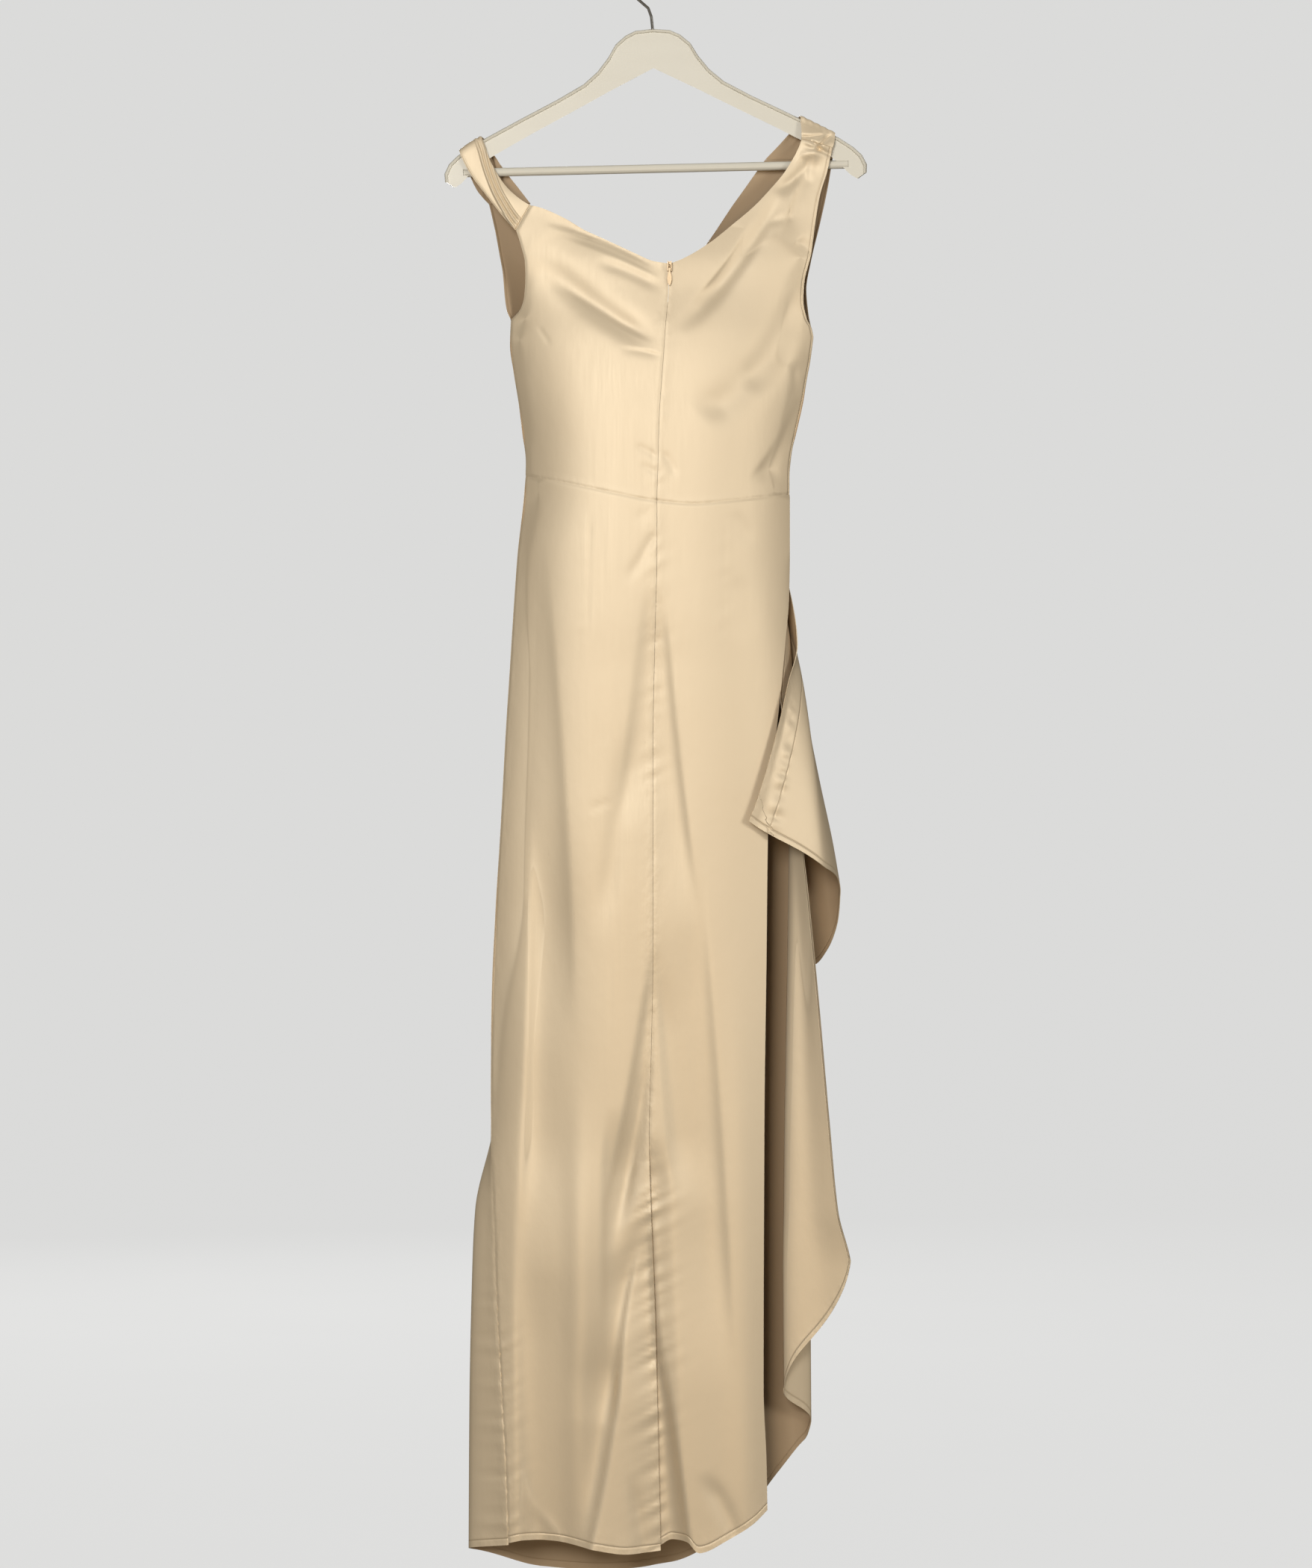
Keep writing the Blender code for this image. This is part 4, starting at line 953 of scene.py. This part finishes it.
def height_grid(
    surface: Surface,
    left: Edge,
    right: Edge,
    tops: Sequence[Table],
    bottoms: Sequence[Table],
    across: Array,
    down: Array,
) -> Array:
    """Points of a panel that is a height over X and drop.

    Args:
        surface: Y at an x and a drop.
        left: X of the left edge at a drop.
        right: X of the right edge at a drop.
        tops: The tables of the upper edge, in order.
        bottoms: The tables of the lower edge, in order.
        across: Shares of the width for the grid's columns.
        down: Shares of the height for its rows.

    Returns:
        The grid of world points in millimetres.
    """

    def edge_drop(parts: Sequence[Table]) -> Array:
        """Drop of an edge at each column.

        Args:
            parts: The edge's tables in order.

        Returns:
            The drops.
        """
        found = None
        for part in parts:
            x, drop = part.column("x"), part.column("drop")
            shares = (x - left(drop)) / (right(drop) - left(drop))
            read = smooth_curve(shares, drop, across)
            found = read if found is None else np.where(across >= shares[0], read, found)
        return found

    top, bottom = edge_drop(tops), edge_drop(bottoms)
    drop = top[None, :] + (bottom - top)[None, :] * down[:, None]
    x = left(drop) + (right(drop) - left(drop)) * across[None, :]
    return np.stack([x, surface(x, drop), -drop], axis=-1)


def edge_of(*tables: Table, move: float = 0.0) -> Edge:
    """X at a drop along tables that follow each other downwards.

    Args:
        tables: The tables in order.
        move: Added to X.

    Returns:
        The edge as a function of the drop.
    """

    def x_at(drop: Array) -> Array:
        """X at a drop.

        Args:
            drop: The drops.

        Returns:
            X at each.
        """
        drop = np.asarray(drop, float)
        found = tables[0].at(drop, "x")
        for part in tables[1:]:
            found = np.where(drop >= part.column("drop")[0], part.at(drop, "x"), found)
        return found + move

    return x_at


def path_grid(
    path: Callable[[Array, float], tuple[Array, Array]],
    top: Array,
    hem: Array,
    across: Array,
    down: Array,
    step: float = 5.0,
) -> Array:
    """Points of a panel whose every level is a path that may turn back on itself.

    Args:
        path: X and Y at shares of the width, at a drop.
        top: Drop of the upper edge at each column.
        hem: Drop of the lower edge at each column.
        across: Shares of the width for the columns.
        down: Shares of the height for the rows.
        step: Distance between the levels that are worked out.

    Returns:
        The grid of world points in millimetres.
    """
    levels = np.arange(top.min() - step, hem.max() + step, step)
    paths = np.array([path(across, float(level)) for level in levels])
    drop = top[None, :] + (hem - top)[None, :] * down[:, None]
    x = np.stack([np.interp(drop[:, j], levels, paths[:, 0, j]) for j in range(len(across))], axis=1)
    y = np.stack([np.interp(drop[:, j], levels, paths[:, 1, j]) for j in range(len(across))], axis=1)
    return np.stack([x, y, -drop], axis=-1)


@dataclass
class Bodice:
    """The two back panels that meet at the zip, and the front with its V neck."""

    satin: Fabric
    step: float = 2.2
    front_step: float = 2.6
    seam_gap: float = 0.15
    armhole_hem: float = 2.6

    def left_back(self) -> None:
        """The back panel on the left."""
        left = edge_of(STRAP_SEAM_LEFT, BACK_ARMHOLE_LEFT, SIDE_LEFT)
        right = edge_of(CENTRE_BACK, move=-self.seam_gap)
        across, down = spaced(150, self.step), spaced(290, self.step)
        grid = height_grid(FORM.back, left, right, [NECK_BACK_LEFT], [WAIST_BACK], across, down)
        Cloth(
            "bodice_back_left", grid, -1.0,
            roll={"right": 0.5, "bottom": 0.5, "left": 0.8},
            crumpled={"right": 7.0, "bottom": 4.0, "top": 5.0},
        ).sew(self.satin, Cut(0.165, 0.31, 0.0425))

    def right_back(self) -> None:
        """The back panel on the right, up to the gathered shoulder."""
        left = edge_of(CENTRE_BACK, move=self.seam_gap)
        right = edge_of(BACK_ARMHOLE_RIGHT, SIDE_RIGHT)
        across, down = spaced(155, self.step), spaced(330, self.step)
        tops = [NECK_BACK_RIGHT, WRAP_EDGE_BACK]
        grid = height_grid(FORM.back, left, right, tops, [WAIST_BACK], across, down)
        Cloth(
            "bodice_back_right", grid, -1.0,
            roll={"left": 0.5, "bottom": 0.5, "right": 0.6},
            stitched={"right": self.armhole_hem},
            crumpled={"left": 6.0, "bottom": 4.0, "right": 4.0},
        ).sew(self.satin, Cut(0.18, 0.38, 0.048))

    def front(self) -> None:
        """The front, whose neck is a V."""
        left = edge_of(FRONT_ARMHOLE_LEFT, SIDE_LEFT)
        right = edge_of(FRONT_ARMHOLE_RIGHT, SIDE_RIGHT)
        across, down = spaced(330, self.front_step), spaced(250, self.step)
        tops = [STRAP_SEAM_FRONT, NECK_FRONT, WRAP_EDGE_FRONT]
        grid = height_grid(FORM.front, left, right, tops, [WAIST_FRONT], across, down)
        Cloth(
            "bodice_front", grid, 1.0,
            roll={"bottom": 0.5, "left": 0.6, "right": 0.6},
            stitched={"left": self.armhole_hem, "right": self.armhole_hem},
            crumpled={"bottom": 4.0, "top": 5.0},
        ).sew(self.satin, Cut(0.36, 0.35, 0.087))

    def build(self) -> None:
        """All three panels."""
        self.left_back()
        self.right_back()
        self.front()


@dataclass
class BackSkirt:
    """The two back skirt panels, seamed down to the vent."""

    satin: Fabric
    step: float = 2.6
    fall_step: float = 4.4
    seam_gap: float = 0.15
    vent_top: float = 1212.0
    vent_lap: float = 16.0
    vent_step: float = 5.0
    lap_from: float = 45.0
    lap_over: float = 60.0
    step_over: float = 50.0
    step_width: float = 26.0
    step_fade: float = 24.0
    hem: float = 7.0

    def lapped(self, drop: Array) -> Array:
        """X of the right panel's inner edge, which runs under the left one at the vent."""
        lap = self.vent_lap * ramp(drop - self.vent_top, self.lap_from, self.lap_over)
        return CENTRE_BACK.at(drop, "x") + self.seam_gap - lap

    def behind(self, x: Array, drop: Array) -> Array:
        """Y of the right panel, which drops behind the left one at the vent.

        Args:
            x: Places along X.
            drop: Their drops.

        Returns:
            Y at each place.
        """
        inside = CENTRE_BACK.at(drop, "x") + self.step_width - x
        under = ramp(drop, self.vent_top, self.step_over) * ramp(inside, 0, self.step_fade)
        return FORM.back(x, drop) + self.vent_step * under

    def build(self) -> None:
        """Both panels."""
        down = spaced(1100, self.fall_step)
        left, right = edge_of(SIDE_LEFT), edge_of(SIDE_RIGHT)
        centre = edge_of(CENTRE_BACK, move=-self.seam_gap)
        across = spaced(155, self.step)
        grid = height_grid(FORM.back, left, centre, [WAIST_BACK], [HEM_BACK_LEFT], across, down)
        Cloth(
            "skirt_back_left", grid, -1.0,
            roll={"right": 0.4, "top": 0.5, "left": 0.8},
            stitched={"bottom": self.hem},
            crumpled={"right": 8.0, "bottom": 14.0, "left": 8.0},
        ).sew(self.satin, Cut(0.19, 1.115, 0.186))
        across = spaced(125, self.step)
        grid = height_grid(self.behind, self.lapped, right, [WAIST_BACK], [HEM_BACK_RIGHT], across, down)
        Cloth(
            "skirt_back_right", grid, -1.0,
            roll={"left": 0.4, "top": 0.5},
            stitched={"bottom": self.hem},
            crumpled={"left": 7.0, "bottom": 14.0},
        ).sew(self.satin, Cut(0.165, 1.095, 0.143))


@dataclass(frozen=True)
class Ridge:
    """A soft ridge down a panel, at a share of its width, that grows over a run of drops."""

    share: float
    reach: float
    height: float
    start: float
    run: float

    def at(self, share: Array, drop: float) -> Array:
        """Height of the ridge."""
        return self.height * near(share, self.share, self.reach) * ramp(drop, self.start, self.run)


@dataclass
class FrontSkirt:
    """The front skirt with its cascade at the side, and the drape over the hip."""

    satin: Fabric
    drape_satin: Fabric
    stations: int = 41
    drape_stations: int = 45
    front_share: tuple[float, float] = (0.05, 0.74)
    turn_shares: tuple[float, float] = (0.775, 0.86)
    drape_share: float = 0.55
    drape_turn_shares: tuple[float, float] = (0.7, 0.82)
    waist_line: float = 549.0
    drape_line: float = 552.0
    freed_over: float = 50.0
    left_reach: float = 30.0
    right_reach: float = 70.0
    turn_round: float = 7.0
    turn_from: float = 640.0
    turn_over: float = 100.0
    slit_top: float = 756.0
    side_pucker_from: float = 1320.0
    side_pucker_reach: float = 0.02
    side_pucker_pitch: float = 12.0
    facing_pucker_pitch: float = 19.0
    drape_folds_from: float = 556.0
    drape_folds_to: float = 150.0
    faced_share: float = 0.868
    fall: Ridge = Ridge(0.945, 0.03, 2.2, 860.0, 200.0)
    facing_pucker: Ridge = Ridge(0.945, 0.016, 1.5, 740.0, 60.0)
    facing_sag: Ridge = Ridge(0.972, 0.014, 1.3, 740.0, 60.0)

    @staticmethod
    def turns(columns: Table, drop: float) -> dict[str, float]:
        """A table of turns as one row at a drop."""
        return {key: float(columns.at(drop, key)) for key in columns.names if key != "drop"}

    def freed(self, drop: float) -> float:
        """0 at the waist seam and 1 where the front hangs free of it."""
        return float(ramp(drop, self.drape_line, self.freed_over))

    def plain(self, x: Array, drop: float, at: dict[str, float]) -> Array:
        """Y of the front between its turns at the left and the right.

        Args:
            x: Places along X.
            drop: The level.
            at: The turns at that level.

        Returns:
            Y at each place.
        """
        ends = FORM.front(np.array([at["left_x"], at["right_x"]]), np.array([drop, drop]))
        left = 1 - ramp(x, at["left_x"], self.left_reach)
        right = 1 - ramp(at["right_x"] - x, 0, self.right_reach)
        change = (at["left_y"] - ends[0]) * left + (at["right_y"] - ends[1]) * right
        return FORM.front(x, np.full(np.shape(x), float(drop))) + self.freed(drop) * change

    def path(self, share: Array, drop: float) -> tuple[Array, Array]:
        """The front at a drop: round the front, then a cascade fold at the right.

        Args:
            share: Shares of its width.
            drop: The level.

        Returns:
            X and Y at each share.
        """
        at = self.turns(FRONT_TURNS, drop)
        level = np.array(drop)
        seam_x, end_x, end_y = float(SIDE_LEFT.at(drop, "x")), at["free_x"], at["free_y"]
        if drop < self.slit_top:
            end_x = float(SIDE_RIGHT.at(drop, "x"))
            end_y = float(FORM.back(np.array(end_x), level))
        sewn_y = float(FORM.front(np.array(at["inner_x"]), level))
        inner_y = sewn_y + (at["inner_y"] - sewn_y) * self.freed(drop)
        x = np.linspace(at["left_x"], at["right_x"], self.stations)
        y = self.plain(x, drop, at)
        turned = float(ramp(drop, self.turn_from, self.turn_over))
        reach = (at["right_x"] - at["inner_x"]) / 2 + self.turn_round * 0.6
        round_x = (at["right_x"] + at["inner_x"]) / 2 + turned * reach
        round_y = (y[-1] + inner_y) / 2 + turned * ((y[-1] - inner_y) / 2 - self.turn_round)
        seam_y = float(FORM.back(np.array(seam_x), level))
        spots = np.array([0.0, *np.linspace(*self.front_share, self.stations), *self.turn_shares, 1.0])
        found_x = smooth_curve(spots, np.array([seam_x, *x, round_x, at["inner_x"], end_x]), share)
        found_y = smooth_curve(spots, np.array([seam_y, *y, round_y, inner_y, end_y]), share)
        pucker = np.exp(-share / self.side_pucker_reach) * ramp(drop, self.side_pucker_from, 60)
        pucker = pucker * ripple(level, self.side_pucker_pitch, 2.0)
        return found_x, found_y + self.fall.at(share, drop) - pucker

    def drape_path(self, share: Array, drop: float) -> tuple[Array, Array]:
        """The drape at a drop: across the front, round the hip and over the back.

        Args:
            share: Shares of its width.
            drop: The level.

        Returns:
            X and Y at each share.
        """
        at, below = self.turns(DRAPE_TURNS, drop), self.turns(FRONT_TURNS, drop)
        x = np.linspace(below["left_x"] + 5, at["turn_x"], self.drape_stations)
        y = self.plain(np.minimum(x, below["right_x"]), drop, below) + float(DRAPE_STAND_OFF.at(drop, "off"))
        y[-1] = max(y[-1], at["turn_y"])
        calm = ramp(drop, self.drape_folds_from, 60) * ramp(self.drape_folds_to - x, 0, 20)
        y = y + calm * np.abs(fold_depth(DRAPE_FOLDS, x, np.full(len(x), float(drop))))
        front = np.linspace(0, self.drape_share, self.drape_stations)
        spots = np.array([*front, *self.drape_turn_shares, 1.0])
        found_x = smooth_curve(spots, np.array([*x, at["out_x"], at["flap_x"], at["free_x"]]), share)
        found_y = smooth_curve(spots, np.array([*y, at["out_y"], at["flap_y"], at["free_y"]]), share)
        wave = ripple(np.array(drop + 90 * share), self.facing_pucker_pitch, 3.0)
        pucker = self.facing_pucker.at(share, drop) * wave
        return found_x, found_y + pucker + self.facing_sag.at(share, drop)

    def build(self) -> None:
        """Both pieces."""
        across = spaced(560, 4.0)
        top = WAIST_FRONT.at(self.path(across, self.waist_line)[0], "drop", "x")
        hem, down = FRONT_HEM.at(across, "drop", "share"), spaced(1130, 5.0)
        grid = path_grid(self.path, top, hem, across, down)
        Cloth(
            "skirt_front", grid, 1.0, faced_from=float(np.mean(across < self.faced_share)),
            roll={"top": 0.5, "left": 0.8},
            stitched={"bottom": 7.0, "right": 7.0},
            crumpled={"bottom": 14.0, "left": 10.0, "right": 3.0},
        ).sew(self.satin, Cut(0.50, 1.145, 0.445))
        across = spaced(420, 3.4)
        top = WAIST_FRONT.at(self.drape_path(across, self.drape_line)[0], "drop", "x") + 2.0
        hem, down = DRAPE_HEM.at(across, "drop", "share"), spaced(480, 3.6)
        grid = path_grid(self.drape_path, top, hem, across, down)
        Cloth(
            "hip_drape", grid, 1.0,
            stitched={"bottom": 6.0, "right": 24.0},
            crumpled={"bottom": 9.0, "right": 12.0},
        ).sew(self.drape_satin, Cut(0.42, 0.53, 0.123))


@dataclass
class Shoulders:
    """The pleated left strap and the gathered right shoulder, both over the hanger's arm."""

    satin: Fabric
    pleats: int = 3
    pleat_pitch: float = 0.185
    pleat_depth: float = 1.7
    pleats_start: float = 0.2
    pleats_shift: float = 0.72
    edge_depth: float = 0.4
    crown: float = 1.2
    gathers: int = 5
    gather_depth: float = 1.4
    arm_at: float = 0.5

    @staticmethod
    def band(columns: Table, across: Array, along: Array) -> Array:
        """Points of a band between a table's left and right edges, sewn to the back and the front.

        Args:
            columns: The table of edges.
            across: Shares of the width.
            along: Shares of the length.

        Returns:
            The grid of world points in millimetres.
        """
        keys = [f"{side}_{axis}" for side in ("left", "right") for axis in ("x", "y", "drop")]
        edges = np.stack([columns.at(along, key, "share") for key in keys], axis=-1)
        share = across[None, :, None]
        grid = edges[:, None, :3] * (1 - share) + edges[:, None, 3:] * share
        for row, surface in ((0, FORM.plain_back), (-1, FORM.front)):
            grid[row, :, 1] = surface(grid[row, :, 0], grid[row, :, 2])
        return grid * np.array([1.0, 1.0, -1.0])

    def strap_ripple(self, across: Array, along: Array) -> Array:
        """Height of the strap's pleats, which lie side by side and cross it from seam to shoulder.

        Args:
            across: Shares of the width.
            along: Shares of the length.

        Returns:
            The height at each place.
        """
        middle = self.pleats_start + self.pleats_shift * within(along, 0.46)
        off = (across - middle) / self.pleat_pitch
        saw = (off + 0.5) % 1.0
        pleat = ramp(saw, 0, 0.66) * ramp(1 - saw, 0, 0.4)
        held = ramp(off, -self.pleats / 2, 0.3) * ramp(self.pleats / 2 - off, 0, 0.3)
        calm = within(along, 0.05) * (1 - 0.6 * near(along, self.arm_at, 0.05))
        edge = self.edge_depth * near(across, 0.07, 0.035)
        crown = self.crown * 4 * across * (1 - across) * within(along, 0.2)
        return calm * (self.pleat_depth * pleat * held + edge) + crown

    def knot_ripple(self, across: Array, along: Array) -> Array:
        """Height of the folds that run over the arm and fan out on the front."""
        calm = ramp(along, 0.3, 0.2) * ramp(1 - along, 0, 0.25) * (1 - 0.75 * near(along, self.arm_at, 0.09))
        return calm * self.gather_depth * (0.5 - 0.5 * np.cos(2 * math.pi * self.gathers * across))

    def drape_over(self, node: str, columns: Table, lift: Surface, cut: Cut) -> None:
        """Makes one of the two pieces.

        Args:
            node: The CAD node that it stands for.
            columns: The table of its edges.
            lift: How far it rises at shares of its width and length.
            cut: Its flat cut.
        """
        across, along = np.linspace(0, 1, 81), np.linspace(0, 1, 201)
        grid = self.band(columns, across, along)
        grid = grid + grid_normal(grid) * lift(across[None, :], along[:, None])[..., None]
        behind = 1 - ramp(along[:, None], 0.28, 0.14)
        grid[..., 1] -= behind * FORM.knot(grid[..., 0], -grid[..., 2])
        Cloth(node, grid, 1.0).sew(self.satin, cut)

    def build(self) -> None:
        """Both pieces."""
        self.drape_over("strap_left", STRAP_LEFT, self.strap_ripple, Cut(0.034, 0.19, 0.006))
        self.drape_over("shoulder_right", SHOULDER_RIGHT, self.knot_ripple, Cut(0.07, 0.095, 0.0042))


# Hanger and zip


@dataclass
class Hanger:
    """The painted wooden hanger: its body, its bar and the wire hook, in the shapes of the CAD part."""

    paint: bpy.types.Material
    steel: bpy.types.Material
    bevel: float = 0.0007

    def dress(self) -> None:
        """Rounds the edges of the nodes and gives them their finish."""
        for name, finish, slot in (
            ("hanger_body", self.paint, "painted_wood"),
            ("hanger_bar", self.paint, "painted_wood"),
            ("hanger_hook", self.steel, "steel_wire"),
        ):
            refinish(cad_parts[name], finish, slot, self.bevel)


@dataclass
class ZipTop:
    """The zip's slider and its pull, which hang below the back neckline."""

    metal: bpy.types.Material
    bevel: float = 0.00025

    def dress(self) -> None:
        """Rounds the edges of the nodes and gives them their finish."""
        for name in ("zip_slider", "zip_pull"):
            refinish(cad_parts[name], self.metal, "lacquered_metal", self.bevel)


def refinish(node: bpy.types.Object, finish: bpy.types.Material, slot: str, bevel: float) -> None:
    """Gives a CAD node a new material and rounded edges.

    Args:
        node: The node.
        finish: Its material.
        slot: The record's material slot; not used.
        bevel: Width of the rounding in metres.
    """
    node.data.materials.clear()
    node.data.materials.append(finish)
    rounding = node.modifiers.new("rounding", "BEVEL")
    rounding.width = bevel
    rounding.segments = 3
    rounding.limit_method = "ANGLE"
    rounding.angle_limit = math.radians(35)
    rounding.harden_normals = True
    node.data.shade_smooth()
    log.info("%s: refinished", node.name)


# Studio


@dataclass(frozen=True)
class AreaLight:
    """A soft square light that faces a point of the dress."""

    name: str
    place: tuple[float, float, float]
    target: tuple[float, float, float]
    size: float
    power: float
    colour: Colour = (1.0, 1.0, 1.0)

    def build(self) -> None:
        """Adds the light."""
        lamp = bpy.data.lights.new(self.name, "AREA")
        lamp.shape = "SQUARE"
        lamp.size = self.size
        lamp.energy = self.power
        lamp.color = self.colour
        made = bpy.data.objects.new(self.name, lamp)
        made.location = self.place
        made.rotation_euler = (Vector(self.target) - Vector(self.place)).to_track_quat("-Z", "Y").to_euler()
        bpy.context.scene.collection.objects.link(made)


@dataclass
class Studio:
    """A pale round sweep, soft lights and the camera."""

    floor_z: float = -1.80
    flat_radius: float = 7.0
    curve_radius: float = 2.5
    wall_top: float = 6.0
    distance: float = 4.5
    picture_height: float = 1.631
    centre: tuple[float, float] = (0.00505, -0.85)
    sensor: float = 36.0
    spokes: int = 72
    base: tuple[Colour, Colour] = ((0.04, 0.04, 0.0395), (0.05, 0.05, 0.0495))
    glow: float = 0.70
    sky_colour: Colour = (1.0, 0.92, 0.79)
    sky_strength: float = 0.13
    lights: tuple[AreaLight, ...] = (
        AreaLight("key", (-0.9, -4.0, 0.2), (0.0, 0.0, -0.55), 1.4, 85.0, (1.0, 0.99, 0.975)),
        AreaLight("low", (-0.4, -3.9, -1.6), (0.0, 0.0, -1.4), 0.7, 17.0, (1.0, 0.76, 0.48)),
        AreaLight("fill", (2.6, -2.8, -0.3), (0.1, 0.0, -1.0), 1.0, 34.0, (1.0, 0.97, 0.92)),
        AreaLight("top", (0.2, -0.2, 2.0), (0.0, 0.0, -0.6), 1.4, 7.0),
        AreaLight("behind", (-0.9, 4.1, 0.3), (0.0, 0.0, -0.8), 1.4, 125.0),
    )

    def sweep(self) -> None:
        """The floor, which curves up into the backdrop all round."""
        flat, bend, floor = self.flat_radius, self.curve_radius, self.floor_z
        turns = np.linspace(-math.pi / 2, 0, 13)
        curve = [(flat + bend * math.cos(t), floor + bend * (1 + math.sin(t))) for t in turns]
        profile = [(0.01, floor), *curve, (flat + bend, self.wall_top)]
        angles = [2 * math.pi * k / self.spokes for k in range(self.spokes)]
        points = [(r * math.cos(a), r * math.sin(a), z) for r, z in profile for a in angles]
        index = np.arange(len(points)).reshape(len(profile), self.spokes)
        after = np.roll(index, -1, axis=1)
        faces = np.stack([index[:-1], after[:-1], after[1:], index[1:]], axis=-1).reshape(-1, 4).tolist()
        faces.append(list(reversed(range(self.spokes))))
        mesh = bpy.data.meshes.new("sweep")
        mesh.from_pydata(points, [], faces)
        mesh.shade_smooth()
        shader = ShaderTree("pale_sweep", (0.8, 0.8, 0.79))
        grain = shader.noise(shader.place(), 3.0, 3.0)
        shader.feed("Base Color", shader.mix(grain, *self.base))
        shader.fixed(
            Roughness=0.8, Specular_IOR_Level=0.0,
            Emission_Color=(1.0, 1.0, 0.99, 1.0), Emission_Strength=self.glow,
        )
        mesh.materials.append(shader.material)
        made = bpy.data.objects.new("sweep", mesh)
        made.visible_diffuse = False
        made.visible_glossy = False
        made.visible_shadow = False
        bpy.context.scene.collection.objects.link(made)

    def sky(self) -> None:
        """Even pale light from above."""
        world = bpy.data.worlds.new("studio")
        world.use_nodes = True
        background = world.node_tree.nodes["Background"]
        background.inputs["Color"].default_value = (*self.sky_colour, 1.0)
        background.inputs["Strength"].default_value = self.sky_strength
        bpy.context.scene.world = world
        bpy.context.scene.view_settings.view_transform = "Standard"

    def camera(self) -> None:
        """The camera, level and square to the back of the dress."""
        data = bpy.data.cameras.new("camera")
        data.sensor_width = self.sensor
        data.lens = self.sensor * self.distance / self.picture_height
        data.dof.use_dof = False
        made = bpy.data.objects.new("camera", data)
        made.location = (self.centre[0], -self.distance, self.centre[1])
        made.rotation_euler = (math.pi / 2, 0.0, 0.0)
        bpy.context.scene.collection.objects.link(made)
        bpy.context.scene.camera = made

    def build(self) -> None:
        """The whole studio."""
        self.sweep()
        self.sky()
        self.camera()
        for light in self.lights:
            light.build()


def main() -> None:
    """Builds the dress, the hanger and the studio."""
    logging.basicConfig(level=logging.INFO)
    satin, drape_satin, strap_satin = (Fabric.of(name) for name in ("satin", "satin_drape", "satin_strap"))
    Bodice(satin).build()
    BackSkirt(satin).build()
    FrontSkirt(satin, drape_satin).build()
    Shoulders(strap_satin).build()
    Hanger(PaintFinish().material(), MetalFinish("steel", (0.62, 0.60, 0.56), 0.24).material()).dress()
    ZipTop(MetalFinish("lacquer", (0.50, 0.375, 0.24), 0.42).material()).dress()
    Studio().build()


if __name__ == "__main__":
    main()
